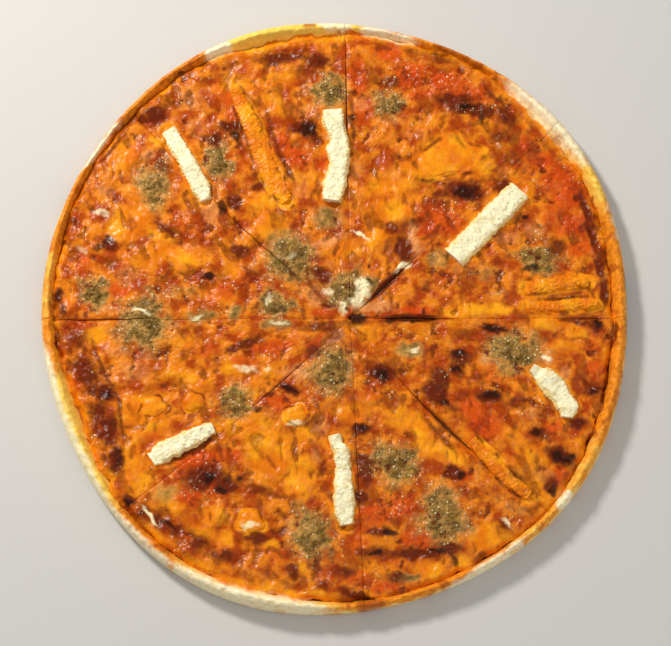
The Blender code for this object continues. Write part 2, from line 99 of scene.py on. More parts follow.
# Strips: (name, height, places), each place (x, y, half width).
TOPPING_BOTTOM = 7.0
BRIE_STRIPS = (
    ("brie_1", 4.4, ((-81.9, 89.5, 4.0), (-75.6, 79.2, 4.2), (-69.8, 68.6, 4.6), (-64.6, 58.5, 4.6),
                     (-62.3, 52.6, 2.8))),
    ("brie_2", 4.6, ((0.2, 100.6, 5.2), (0.6, 96.0, 5.6), (2.0, 90.4, 4.8), (4.2, 85.0, 4.2),
                     (3.2, 79.5, 6.2), (3.9, 71.5, 4.6), (1.2, 60.5, 5.8), (0.0, 52.2, 4.8))),
    ("brie_3", 4.8, ((92.9, 57.6, 6.1), (84.0, 48.0, 6.5), (73.0, 36.6, 6.3), (59.6, 22.6, 6.2))),
    ("brie_4", 4.5, ((96.0, -33.2, 2.0), (101.6, -37.2, 5.0), (106.6, -42.2, 6.2), (109.8, -47.4, 4.9),
                     (112.7, -52.0, 5.4), (112.0, -57.4, 2.6))),
    ("brie_5", 4.7, ((1.6, -66.0, 3.3), (2.4, -70.4, 3.0), (5.0, -74.0, 3.7), (5.2, -80.0, 3.7),
                     (5.7, -88.0, 4.4), (5.8, -97.0, 4.9), (6.2, -103.4, 5.0), (7.2, -108.6, 3.2))),
    ("brie_6", 4.1, ((-85.2, -77.8, 3.8), (-80.0, -74.2, 5.0), (-71.0, -69.6, 4.6), (-62.0, -64.8, 4.2),
                     (-56.0, -62.2, 2.8))),
)
CHEDDAR_STRIPS = (
    ("cheddar_1", 3.3, ((-49.0, 112.0, 3.0), (-44.0, 101.0, 4.6), (-39.0, 88.0, 5.0), (-34.0, 75.0, 5.0),
                        (-28.0, 62.0, 4.8), (-22.0, 52.0, 3.4))),
    ("cheddar_2", 3.4, ((66.6, -68.2, 2.9), (75.0, -77.4, 3.6), (84.0, -87.4, 3.8), (93.0, -94.6, 3.0))),
    ("cheddar_3", 3.3, ((96.0, 7.6, 3.4), (106.0, 9.4, 4.2), (117.0, 10.6, 4.0), (125.0, 10.2, 2.6))),
    ("cheddar_4", 3.2, ((95.0, -2.4, 2.6), (106.0, -1.8, 3.4), (118.0, -1.2, 3.6), (129.0, -0.2, 2.6))),
)

# Lumps: (name, x, y, half length, half width, turn, height, phase of the uneven outline).
BLUE_CLUMPS = (
    ("blue_1", -1.4, 111.2, 7.2, 8.2, 0, 4.0, 1.0),
    ("blue_2", -89.0, 60.5, 6.6, 10.4, 15, 3.6, 2.1),
    ("blue_3", -56.5, 73.0, 5.6, 8.4, 10, 3.5, 3.3),
    ("blue_4", -116.0, 4.4, 5.8, 6.4, 0, 3.6, 4.2),
    ("blue_5", -91.0, -10.6, 10.2, 11.0, 0, 3.6, 5.4),
    ("blue_6", -27.4, -2.2, 7.0, 4.6, 0, 3.3, 6.5),
    ("blue_7", -20.0, 22.0, 9.8, 9.2, 20, 3.6, 7.7),
    ("blue_8", 7.6, 6.2, 9.0, 7.4, 30, 3.9, 8.1),
    ("blue_9", 0.0, -33.4, 8.6, 10.2, -10, 3.8, 9.6),
    ("blue_10", -46.0, -49.4, 7.2, 6.0, 20, 3.4, 10.2),
    ("blue_11", 88.0, -23.4, 10.8, 7.2, -12, 3.7, 11.5),
    ("blue_12", 101.0, 21.6, 9.0, 5.2, -15, 3.5, 12.3),
    ("blue_13", -9.6, -113.4, 8.4, 10.0, 25, 3.8, 13.8),
    ("blue_14", 30.0, -79.4, 10.6, 8.0, -10, 3.8, 14.4),
    ("blue_15", 52.0, -105.0, 9.0, 11.6, 15, 4.0, 15.9),
    ("blue_16", 28.6, 104.4, 6.4, 5.8, 0, 3.5, 16.6),
)
CHEDDAR_CHUNKS = (
    ("cheddar_5", -17.0, -56.2, 5.8, 5.4, 4, 3.8, 1.7),
    ("cheddar_6", -37.6, -107.4, 6.8, 5.8, -12, 3.6, 2.9),
    ("cheddar_7", -85.0, -52.4, 6.6, 5.4, 10, 3.4, 3.1),
    ("cheddar_8", -66.4, -49.4, 5.2, 4.6, 0, 3.3, 4.7),
    ("cheddar_9", 58.0, 74.6, 17.0, 9.6, 14, 2.9, 5.2),
)

# Toppings that a cut divides, each part with the number of its slice.
DIVIDED = {
    "brie_1": (("brie_1a", 3), ("brie_1b", 4)),
    "blue_5": (("blue_5a", 4), ("blue_5b", 5)),
    "blue_7": (("blue_7a", 3), ("blue_7b", 4)),
    "blue_8": (("blue_8a", 2), ("blue_8b", 3)),
}


# Noise and masks, all for whole arrays of places in millimetres.
LATTICE = 128
NOISE_ORIGIN = (37.3, 11.7)
CELL_ORIGIN = 50.0


def smooth(low, high, value):
    """0 below low, 1 above high, with the cubic 3t^2 - 2t^3 between them."""
    t = np.clip((value - low) / (high - low), 0.0, 1.0)
    return t * t * (3.0 - 2.0 * t)


def waves_noise(x, y, size, seed):
    """Gradient noise from about -1 to 1 on a square lattice of the given size."""
    angle = np.random.default_rng(seed).uniform(0.0, 2.0 * math.pi, (LATTICE, LATTICE))
    gx = np.asarray(x) / size + NOISE_ORIGIN[0]
    gy = np.asarray(y) / size + NOISE_ORIGIN[1]
    ix = np.floor(gx).astype(int)
    iy = np.floor(gy).astype(int)
    fx = gx - ix
    fy = gy - iy
    total = 0.0
    wx = fx * fx * fx * (fx * (fx * 6.0 - 15.0) + 10.0)
    wy = fy * fy * fy * (fy * (fy * 6.0 - 15.0) + 10.0)
    for dx in (0, 1):
        for dy in (0, 1):
            turn = angle[(ix + dx) % LATTICE, (iy + dy) % LATTICE]
            dot = np.cos(turn) * (fx - dx) + np.sin(turn) * (fy - dy)
            total = total + dot * (wx if dx else 1.0 - wx) * (wy if dy else 1.0 - wy)
    return total * 1.5


def cloudy(x, y, size, seed, octaves=4, gain=0.5):
    """Sum of gradient noises, each half the size and gain times the strength of the one before."""
    total = 0.0
    strength = 1.0
    for octave in range(octaves):
        total = total + strength * waves_noise(x, y, size / 2.0 ** octave, seed + 17 * octave)
        strength *= gain
    return total


def cells(x, y, size, seed):
    """Distance to the nearest scattered point, in cell sizes, and that point's number."""
    table = np.random.default_rng(seed).uniform(0.0, 1.0, (LATTICE, LATTICE, 3))
    gx = np.asarray(x) / size + CELL_ORIGIN
    gy = np.asarray(y) / size + CELL_ORIGIN
    ix = np.floor(gx).astype(int)
    iy = np.floor(gy).astype(int)
    nearest = np.full(np.shape(gx), 9.0)
    number = np.zeros(np.shape(gx))
    for dx in (-1, 0, 1):
        for dy in (-1, 0, 1):
            spot = table[(ix + dx) % LATTICE, (iy + dy) % LATTICE]
            away = np.hypot(ix + dx + spot[..., 0] - gx, iy + dy + spot[..., 1] - gy)
            number = np.where(away < nearest, spot[..., 2], number)
            nearest = np.minimum(nearest, away)
    return nearest, number


def ellipse_shares(x, y, place):
    """Shares along and across a turned ellipse (x, y, half length, half width, turn)."""
    px, py, length, width, turn = place[:5]
    c = math.cos(math.radians(turn))
    s = math.sin(math.radians(turn))
    return ((x - px) * c + (y - py) * s) / length, ((y - py) * c - (x - px) * s) / width


def spots(x, y, places):
    """Largest of soft turned ellipses (x, y, half length, half width, turn, strength) with ragged edges."""
    wx = x + 1.5 * waves_noise(x, y, 6.0, 501) + 0.7 * waves_noise(x, y, 2.4, 502)
    wy = y + 1.5 * waves_noise(x, y, 6.0, 503) + 0.7 * waves_noise(x, y, 2.4, 504)
    most = np.zeros(np.shape(x))
    for place in places:
        most = np.maximum(most, place[5] * smooth(1.45, 0.3, np.hypot(*ellipse_shares(wx, wy, place))))
    return most


def line_distance(x, y, points):
    """Distance to a line of points, and how far along it the nearest place is, from 0 to 1."""
    nearest = np.full(np.shape(x), 1e6)
    along = np.zeros(np.shape(x))
    for k in range(len(points) - 1):
        ax, ay = points[k][:2]
        dx = points[k + 1][0] - ax
        dy = points[k + 1][1] - ay
        t = np.clip(((x - ax) * dx + (y - ay) * dy) / (dx * dx + dy * dy), 0.0, 1.0)
        away = np.hypot(x - ax - t * dx, y - ay - t * dy)
        along = np.where(away < nearest, (k + t) / (len(points) - 1), along)
        nearest = np.minimum(nearest, away)
    return nearest, along


def strokes(x, y, lines):
    """Largest of soft lines (half width, strength, points) that thin out at both ends."""
    wx = x + 0.8 * waves_noise(x, y, 5.0, 511)
    wy = y + 0.8 * waves_noise(x, y, 5.0, 512)
    most = np.zeros(np.shape(x))
    for width, strength, points in lines:
        away, along = line_distance(wx, wy, points)
        end = 0.35 + 0.65 * np.sin(math.pi * np.clip(along, 0.0, 1.0)) ** 0.6
        fade = smooth(-0.06, 0.22, along) * smooth(1.06, 0.78, along)
        most = np.maximum(most, strength * fade * smooth(2.0, 0.1, away / (width * end)))
    return most


def beside_strip(x, y, places):
    """Distance outside the uneven width of a strip; negative inside it."""
    away, along = line_distance(x, y, places)
    return away - np.interp(along, np.linspace(0.0, 1.0, len(places)), [place[2] for place in places])


def clump_share(x, y, clump):
    """Distance from the middle of a lump as a share of its uneven outline."""
    along, across = ellipse_shares(x, y, clump)
    angle = np.arctan2(across, along)
    phase = clump[6]
    uneven = 1.0 + 0.08 * (np.sin(3.0 * angle + 3.0 * phase) + np.sin(5.0 * angle + 5.0 * phase))
    return np.hypot(along, across) / uneven


# Noises by name: (strength, size, seed, octaves).
NOISES = {
    "band bend": (2.0, 9.0, 89, 2),
    "moss along": (3.0, 7.0, 521, 3),
    "moss across": (3.0, 7.0, 522, 3),
    "brie border": (1.0, 5.0, 79, 2),
    "grit": (0.14, 2.4, 71, 2),
    "blister": (0.45, 4.0, 85, 2),
    "moss": (0.25, 2.6, 95, 2),
    "lobes": (0.2, 10.0, 601, 3),
    "glow border": (1.0, 7.0, 605, 3),
    "puff": (0.75, 10.0, 621, 3),
    "fine puff": (0.3, 3.0, 623, 2),
    "base": (0.12, 8.0, 631, 3),
    "sauce": (0.22, 4.0, 651, 3),
    "crumble": (0.5, 4.2, 661, 2),
    "ridge": (0.2, 6.0, 671, 2),
    "fine ridge": (0.1, 2.0, 673, 2),
    "strip": (1.3, 5.0, 681, 3),
    "fine strip": (0.8, 1.6, 683, 2),
}

# Veils by name, each a noise stepped from low to high: (strength, low, high, size, seed, octaves).
VEILS = {
    "bands": (1.0, -1.1, 0.3, 8.0, 93, 3),
    "red": (0.45, 0.15, 0.8, 15.0, 31, 4),
    "toast": (0.55, 0.3, 0.9, 11.0, 41, 4),
    "pale": (0.35, 0.4, 1.0, 11.0, 51, 4),
    "froth": (0.7, 0.1, 0.7, 13.0, 57, 4),
    "border": (1.0, -0.7, 0.6, 7.0, 87, 2),
    "rim foot": (1.0, -0.5, 0.6, 16.0, 603, 3),
    "crust": (0.85, 0.0, 0.9, 9.0, 641, 4),
    "char": (0.8, 0.5, 1.0, 12.0, 643, 4),
    "crust side": (1.0, -0.7, 0.3, 8.0, 645, 3),
    "sauce": (1.0, -0.2, 0.9, 9.0, 653, 4),
}


def noise(name, x, y):
    """One of the named noises."""
    strength, *rest = NOISES[name]
    return strength * cloudy(x, y, *rest)


def veil(name, x, y):
    """One of the named veils."""
    strength, low, high, *rest = VEILS[name]
    return strength * smooth(low, high, cloudy(x, y, *rest))


# Colour patches of the melted cheese: (x, y, half length, half width, turn, strength).
GOLD_SPOTS = (
    (-105, 76, 11, 8, 50, 1), (-96, 57, 9, 6, 0, .8), (-88, 84, 5, 3, -30, .7), (-100, 40, 14, 9, 30, 1),
    (-85, 36, 10, 5, -30, .9), (-75, 24, 16, 5, -10, 1), (-92, 22, 8, 5, 0, .6), (-113, -17, 6, 5.5, 0, 1),
    (-105, -22, 6, 4, 0, .6), (-65, -40, 10, 7, 0, .7), (-75, -35, 10, 6, 0, .6), (-95, -50, 10, 6, 0, .9),
    (-70, -20, 10, 5, 0, .5), (-90, -56, 14, 12, 0, 1), (-95, -75, 6, 10, 0, 1), (-92, -88, 8, 8, 0, .9),
    (-75, -98, 10, 5, -30, .7), (-55, -105, 8, 6, 0, .8), (-60, -112, 8, 5, -20, .7),
    (-50, -115, 6, 5, 0, .8), (-40, -62, 14, 8, 0, .8), (-28, -75, 14, 14, 0, 1), (-15, -85, 8, 12, 0, 1),
    (-12, -65, 6, 8, 0, .8), (10, -55, 10, 7, 0, .8), (30, -58, 10, 6, 0, .6), (40, -60, 14, 5, -45, 1),
    (48, -72, 10, 5, -30, .8), (48, -130, 12, 6, 0, .8), (-28, -118, 5, 3, 0, .8), (-15, -128, 6, 4, 0, .7),
    (58, -128, 12, 5, 20, .7), (58, -75, 8, 5, -30, .9), (72, -115, 12, 8, 0, 1), (95, -75, 9, 5, -20, .8),
    (95, -92, 10, 7, -40, .8), (88, -82, 10, 6, 0, .4), (-30, 40, 10, 8, 0, 1), (-35, 52, 10, 6, 0, .8),
    (5, 27, 12, 6, 0, .7), (28, 48, 14, 8, 10, 1), (22, 33, 8, 6, 0, .9), (15, -15, 12, 6, 0, .8),
    (40, -12, 8, 5, 0, .6), (-45, -32, 12, 5, 0, .9), (-30, -35, 8, 4, 0, .8), (-38, -44, 10, 4, 0, .7),
    (-50, 15, 8, 5, 0, .5), (65, -4, 12, 4.5, 0, 1), (80, -3, 10, 3.5, 0, .9), (98, 6, 9, 5, 0, 1),
    (98, -3, 8, 4, 0, 1), (105, -10, 12, 5, 0, .8), (118, -15, 6, 3.5, 0, 1), (112, -22, 8, 6, 0, .7),
    (60, -12, 10, 4, 0, .5), (57, 80, 14, 9, 14, 1), (71, 72, 10, 9, 0, 1), (52, 95, 4, 5, 0, .6),
    (78, 90, 5, 5, 0, .5), (-48, 112, 12, 8, -60, .8), (-30, 104, 8, 8, 0, .6), (-25, 118, 10, 6, 0, .6),
    (-10, 65, 6, 6, 0, .5), (45, 72, 12, 6, 20, 1), (30, 60, 14, 6, 0, .9), (15, 56, 6, 4, 0, .7),
    (-18, 62, 5, 10, 0, .6),
)
RED_SPOTS = (
    (13, 123, 6, 7, 0, .9), (14, 115, 5, 6, 0, 1), (28, 133, 9, 6, 0, .9), (40, 120, 10, 8, 0, .9),
    (60, 115, 14, 7, -20, 1), (73, 110, 8, 4, -30, .9), (45, 110, 8, 5, 0, .8), (16, 100, 5, 9, 0, .8),
    (98, 82, 5, 6, 30, 1), (105, 74, 8, 5, 0, .9), (112, 64, 8, 10, -50, 1), (118, 55, 8, 12, -65, 1),
    (120, 40, 6, 12, -75, .9), (122, 28, 5, 8, -70, .8), (108, 45, 5, 8, 0, .7), (50, 45, 9, 6, 30, 1),
    (48, 38, 8, 4, 30, .9), (58, 40, 6, 8, -40, .9), (-18, 76, 9, 6, -30, 1), (-24, 84, 4, 7, 20, .9),
    (-5, 73, 4, 5, 0, .8), (-52, 107, 5, 5, 0, .7), (-48, 98, 6, 4, 0, .8), (-104, 6, 6, 4, 0, 1),
    (-122, 20, 5, 7, 0, .7), (-120, 0, 5, 6, 0, .6), (-108, 28, 4, 6, 0, .7), (-52, 6, 6, 5, 0, .8),
    (-40, 12, 8, 5, 0, .7), (-60, -24, 6, 4, 0, .7), (-28, -22, 12, 4, 10, .9), (-5, -5, 7, 3, 0, .8),
    (-42, -30, 9, 2.5, -5, .8), (-25, -50, 8, 5, 0, .9), (-68, -80, 8, 6, 30, 1), (-60, -78, 10, 7, 0, 1),
    (-66, -94, 7, 5, 0, 1), (-48, -76, 6, 4, -20, 1), (-55, -92, 6, 4, 0, .9), (-85, -66, 5, 3, 0, .6),
    (-121, -35, 3, 12, -10, .8), (-110, -62, 4, 6, 0, .6), (40, -4, 10, 3, 0, 1), (22, -104, 9, 6, 0, .9),
    (40, -115, 9, 5, 0, 1), (33, -100, 8, 6, 0, .7), (48, -95, 8, 4, 0, .6), (15, -110, 6, 4, 0, .7),
    (10, -118, 8, 6, 0, .6), (25, -138, 9, 3, 0, .9), (10, -133, 8, 4, 0, .6), (72, -60, 10, 8, -20, 1),
    (66, -52, 6, 5, 0, 1), (62, -85, 6, 4, 0, .7), (127, -33, 8, 4, 0, .9), (125, -22, 6, 4, 0, .6),
    (105, -62, 6, 4, 0, .8), (116, -62, 6, 6, 0, .5), (108, -84, 4, 4, 0, .9), (-8, -20, 6, 2.5, 40, .8),
)
TOAST_SPOTS = (
    (-3, -12, 11, 4, 0, .7), (2, -16, 7, 5, 40, .6), (-4, 13, 6, 4, 0, .8), (-2, -1.6, 5, 1.6, -10, .9),
    (-8, -24, 4, 7, -40, .7), (22, 6, 6, 1.6, 45, .8), (-14, -12, 10, 3, 0, .5), (-88, 98, 8, 6, 30, 1),
    (-95, 96, 4, 3, 0, .8), (-80, 105, 6, 4, 0, .6), (-65, 127, 5, 3, 20, .7), (-85, 72, 4, 8, 30, .7),
    (-50, 92, 9, 5, 0, .9), (-58, 85, 4, 5, 0, .9), (-25, 130, 18, 4, 5, .8), (-8, 128, 8, 6, 0, .8),
    (-12, 122, 10, 5, 0, .6), (20, 120, 6, 10, 0, .5), (30, 116, 6, 5, 0, .7), (40, 135, 4, 5, 0, .6),
    (55, 130, 12, 4, -20, .6), (62, 107, 14, 4, 0, .9), (70, 102, 16, 5, -10, 1), (88, 97, 10, 5, -60, .8),
    (85, 87, 8, 6, 0, .7), (90, 75, 8, 6, 0, .6), (100, 80, 5, 7, 0, .6), (66, 58, 12, 6, -10, 1),
    (52, 52, 6, 5, 0, .6), (85, 60, 5, 8, 0, .8), (95, 42, 5, 4, 0, .6), (110, 28, 6, 6, 0, .7),
    (125, 50, 2.5, 12, 15, .9), (128, 35, 2.5, 12, 12, .9), (131, 18, 2.5, 8, 5, .9), (133, 5, 3, 8, 0, 1),
    (-110, 30, 6, 5, 0, .9), (-128, 42, 5, 4, 0, .8), (-108, 20, 4, 5, 0, .6), (-82, 38, 9, 2.5, -30, .8),
    (-60, 13, 5, 3, 0, 1), (-68, 15, 8, 2.5, 0, .6), (-45, 26, 6, 3, 0, .8), (-38, 15, 8, 4, -30, .6),
    (-5, 15, 6, 4, 0, .8), (35, 28, 5, 9, 10, .9), (30, 38, 5, 4, 0, .7), (42, 42, 6, 3, 30, .7),
    (-36, 60, 4, 3, 0, .8), (-48, 52, 4, 5, 0, 1), (-15, 92, 8, 5, 0, 1), (-8, 86, 4, 6, 0, .8),
    (24, -35, 8, 6, 0, 1), (18, -30, 5, 3, 0, .6), (52, -38, 6, 8, 0, .8), (62, -27, 8, 5, 0, .8),
    (60, -33, 5, 5, 0, .9), (75, -47, 8, 4, -10, .9), (70, -38, 5, 3, 0, .6), (66, -16, 10, 3, 0, .6),
    (78, -13, 8, 3, -5, 1), (50, -45, 8, 6, -40, 1), (14, -63, 6, 4, 10, 1), (-20, -43, 7, 3, -10, 1),
    (-30, -46, 4, 2, 30, .9), (-40, -20, 10, 3, 20, .8), (-48, -24, 4, 3, 30, .9), (-124, -18, 6, 6, 0, .7),
    (-118, -35, 6, 12, 10, .8), (-108, -45, 6, 6, 0, .9), (-106, -62, 6, 10, 0, .9),
    (-102, -78, 5, 8, 0, .9), (-95, -97, 6, 3, -10, .9), (-60, -86, 12, 8, 10, .9), (-50, -90, 7, 5, 0, .9),
    (-42, -87, 5, 3, 0, .6), (-35, -92, 8, 3, -10, .7), (-35, -115, 8, 3, 0, .8), (-25, -112, 6, 3, 20, .7),
    (15, -78, 5, 4, 0, .9), (16, -85, 4, 8, 0, .8), (14, -95, 4, 6, 0, .8), (-5, -82, 3, 4, 0, .7),
    (22, -112, 8, 3, 0, .8), (40, -122, 18, 3, 0, .9), (55, -120, 8, 4, 0, .9), (5, -130, 8, 5, 0, .7),
    (-18, -130, 4, 5, 0, .8), (10, -141, 10, 3, -15, .9), (-4, -137, 4, 3, 0, .8), (30, -133, 8, 3, 0, .7),
    (57, -84, 5, 5, 0, .9), (98, -64, 6, 4, 0, .8), (108, -76, 8, 5, -30, 1), (104, -90, 4, 5, 0, .8),
    (85, -85, 10, 4, -20, .7), (88, -50, 8, 4, 0, .6), (117, -60, 6, 4, 0, .9), (125, -43, 6, 5, 0, .8),
    (128, -12, 5, 4, 0, .9), (120, -10, 8, 1.5, 0, .8), (95, -104, 8, 2.5, -30, .6),
    (80, -108, 5, 2, -50, .7),
)
# Dark spots: burnt places, and painted shadow in the cut gaps near the hub and below blue_12.
DARK_AND_SHADOW_SPOTS = (
    (12.4, -8.3, 5, 2.6, -8, 1), (28, -9.6, 5, 1.6, 0, .9), (39, -9.2, 6, 1.2, 0, .8),
    (19, 10.5, 3, 1.6, -30, .6), (7, -3, 1.4, 1.2, 0, .8), (23, -5, 3, 1, 40, .6),
    (-23, -4, 1.2, 3.5, 20, .5), (-28, 27, 1.4, 3, 20, .5), (-11, 90, 5, 4, 0, 1), (-48, 87, 3, 2.5, 0, .9),
    (-54, 50, 3, 4, 0, .9), (-60, 13, 2.5, 2.5, 0, 1), (-110, 32, 5, 2.5, 0, .7), (-115, 28, 3, 2, 0, .7),
    (-133, 4, 3, 4, 0, .9), (-130, -4, 2, 5, 0, .7), (66, 57, 7, 4, 0, .9), (24, -36, 4, 3.5, 0, 1),
    (78, -13, 6, 1.6, -8, .9), (76, -46, 5, 2, 0, .9), (62, -26, 4, 2, 0, .8), (60, -33, 3, 2.5, 0, .8),
    (54, -50, 3, 2.5, 0, 1), (-58, -86, 3, 3, 0, 1), (-52, -93, 3, 2, 0, 1), (-50, -86, 2.5, 2.5, 0, .8),
    (27, -112, 3.5, 2.5, 0, 1), (-43, -87, 1.8, 1.4, 0, 1), (14, -62, 5, 2.5, 10, .8),
    (-96, -98, 4, 1.6, 0, .9), (-78, -108, 6, 1.3, -25, .7), (20, -121, 5, 1.5, 0, .9),
    (50, -121, 5, 1.5, 0, .8), (57, -125, 2, 3, 0, .8), (61, -84, 2.5, 3, 0, .9), (97, -64, 3, 2.4, 0, .9),
    (107, -76, 3, 3, 0, 1), (112, -78, 3, 3, 0, 1), (104, -93, 2, 3, 0, .9), (126, -44, 3, 2.4, 0, .7),
    (128, -11, 3, 2, 0, 1), (-107, -46, 4, 3, 0, .7), (-101, -76, 2.5, 6, 0, .6), (95, 44, 1.6, 1.6, 0, .9),
    (97, 17, 5, 2, 0, .8), (68, 103, 5, 1.6, 0, .9), (75, 97, 2, 5, 0, .8), (85, 108, 2.4, 2.4, 0, .6),
    (10, 96, 2, 4, 0, .8), (-5, 129, 4, 2, 0, .5), (44, -4, 1.6, 1.6, 0, .9), (-35, -53, 3, 1.4, 0, .9),
    (-20, -43, 5, 1.4, -5, .8), (1, -28, 3, 1.5, 0, .7), (18, -143, 3, 2, 0, .9),
)
MOSS_SPOTS = (
    (3, 8, 6, 4, 0, .9), (18.5, 10, 6, 4, -30, 1), (11, 5, 4, 4, 0, .9), (-26, -11, 9, 4, 0, .8),
    (-22, 27, 12, 11, 0, .9), (-30, 2, 6, 7, 0, .8), (-47, -5, 4, 5, 0, .8), (-64, -7, 9, 3.5, 10, .9),
    (-2, 44, 9, 7, 0, .8), (38, -24, 7, 5, 0, .9), (52, 22, 6, 6, 0, .7), (36, -133, 6, 3, -10, .8),
    (-78, -94, 8, 5, 0, .6), (86, -33, 8, 5, 0, .8), (-6, -124, 3, 4, 0, .6), (-14, 8, 10, 5, 0, .35),
    (-30, -12, 6, 2.5, 0, .6), (8, -25, 6, 3, 0, .5), (62, 17, 7, 5, 0, .4), (-75, 5, 12, 5, 0, .4),
    (12, 54, 5, 5, 0, .3), (-18, -108, 6, 6, 0, .5), (100, -85, 10, 5, -20, .35),
    (85, -100, 14, 4, -30, .35), (-35, -132, 10, 3, 0, .3), (75, 15, 10, 5, 0, .4), (95, 35, 8, 5, 0, .3),
    (80, 4, 8, 4, 0, .3),
)
PALE_SPOTS = (
    (-2, 31, 10, 2.6, 22, .8), (40, 31, 5, 5, 0, .7), (24, -2, 6, 4, 0, .7), (-9, 5, 5, 5, 0, .5),
    (4, -16, 3, 6, 0, .6), (-72, 107, 9, 7, 0, .5), (-68, 92, 8, 8, 0, .4), (-92, 77, 4, 3, 0, .8),
    (-83, 77, 6, 2.5, -30, .6), (-60, 46, 6, 8, 0, .6), (-112, 58, 6, 3, -20, .6), (-95, -35, 10, 6, 0, .5),
    (-102, -25, 8, 3, 0, .5), (-15, -35, 6, 5, 0, .8), (-22, -35, 5, 4, 0, .5), (20, -3, 12, 3, 0, .8),
    (40, 38, 4, 5, 0, .8), (42, 28, 3, 6, 0, .8), (33, 17, 6, 2, 30, .9), (-10, 100, 8, 5, 0, .4),
    (-15, 60, 6, 8, 0, .4), (12, 68, 6, 8, 0, .4), (15, 105, 4, 7, 0, .5), (-8, 1, 5, 4, 0, .6),
    (100, 38, 7, 6, 0, .5), (85, 33, 8, 4, 0, .5), (75, -28, 5, 4, 0, .6), (103, -28, 4, 4, 0, .8),
    (100, -20, 5, 4, 0, .5), (112, -35, 3, 5, 0, .6), (-5, -62, 5, 6, 0, .5), (-7, -75, 3, 6, 0, .5),
    (30, 95, 10, 4, 0, .4), (42, 88, 8, 4, 0, .4), (52, -96, 9, 6, 0, .5), (62, -108, 3, 8, 0, .5),
    (95, -55, 6, 4, 0, .5), (-100, 14, 7, 6, 0, .5), (-100, -4, 5, 3, 0, .5), (-110, -3, 10, 2, 0, .6),
    (-90, -27, 8, 3, 0, .5),
)
# Cream spots: pale bits of cheese and painted highlights.
CREAM_AND_HIGHLIGHT_SPOTS = (
    (15, 8, 6, 3.2, -60, .9), (12, .5, 5, 3, 10, .85), (-2, 5, 4, 2.4, 0, .6), (6, -3.6, 3, 1.5, -40, .7),
    (34, 19, 5, 1.4, 35, 1), (-26, -11, 6, 1.8, 0, .55), (-31, 2, 1.6, 4, 0, .5), (-21, 23, 5, 2.2, 30, .4),
    (-42, -33, 7, 2, -5, .6), (-30, -34, 4, 1.4, 0, .5), (-114, 46, 5, 1.8, -20, .55),
    (-122, 27, 5, 2, -20, .4), (-38, -109, 5, 2, 0, .7), (-85, -104, 6, 1.2, -50, .9),
    (-17, -60, 5, 1.4, 0, .7), (82, -107, 4, 1.3, -45, .7), (40, -24, 3, 1.5, 0, .7),
    (103, -28, 3, 2, 0, .8), (14, 5, 5, 2, 80, .9), (5, -3, 2, 4, 20, .7), (-66, -7, 4, 1.2, 20, .8),
    (-92, -4, 6, 1.4, -20, .7), (35, 18, 5, 1, 30, .8), (14, 35, 5, 1.2, -30, .8),
)
FROTH_SPOTS = (
    (40, 120, 14, 9, 0, 1), (60, 117, 12, 6, 0, .8), (-55, 88, 10, 8, 0, .9), (-104, 58, 4, 3, 0, .9),
    (-80, 5, 12, 6, 0, .9), (-70, 10, 10, 5, 0, .8), (35, -15, 12, 5, 0, .9), (48, -15, 5, 3, 0, .9),
    (30, -100, 12, 8, 0, 1), (98, 35, 12, 6, 0, .8), (55, 10, 8, 4, 0, .8), (65, -92, 12, 5, 0, .9),
    (65, -103, 8, 4, 0, .9), (57, -84, 6, 4, 0, .9), (-58, -80, 7, 5, 0, .8), (-55, -95, 8, 4, 0, .8),
    (-95, 15, 6, 5, 0, .8), (-105, 0, 10, 5, 0, .9), (-98, -25, 7, 4, 0, .8), (-80, -20, 8, 5, 0, .7),
    (-82, 42, 8, 3, 0, .8), (96, -52, 9, 6, 0, .9), (15, -37, 5, 4, 0, .7), (85, -14, 10, 4, 0, .6),
    (62, -28, 5, 3, 0, .7), (35, -84, 12, 7, 0, 1), (12, -72, 5, 8, 0, .8), (45, 97, 6, 4, 0, .9),
    (-72, -92, 8, 4, 0, .7), (-18, 73, 7, 3, 0, .7), (112, 22, 5, 4, 0, .8), (-88, 52, 8, 4, 0, .8),
    (-50, 10, 10, 6, 0, .7), (68, 102, 14, 5, 0, .6), (15, 90, 6, 3, 0, .7), (-70, -22, 6, 4, 0, .6),
    (10, 38, 12, 3, 0, .6), (70, 17, 10, 4, 0, .6), (-15, 5, 10, 5, 0, .6), (115, 42, 6, 3, 0, .5),
)
# The toast, dark, pale and cream masks hold painted shade and painted highlights besides the cheese's own
# colours.
SPOTS = {
    "gold": GOLD_SPOTS, "red": RED_SPOTS, "toast": TOAST_SPOTS, "dark": DARK_AND_SHADOW_SPOTS,
    "moss": MOSS_SPOTS, "pale": PALE_SPOTS, "cream": CREAM_AND_HIGHLIGHT_SPOTS, "froth": FROTH_SPOTS,
}
MASKS = tuple(SPOTS)
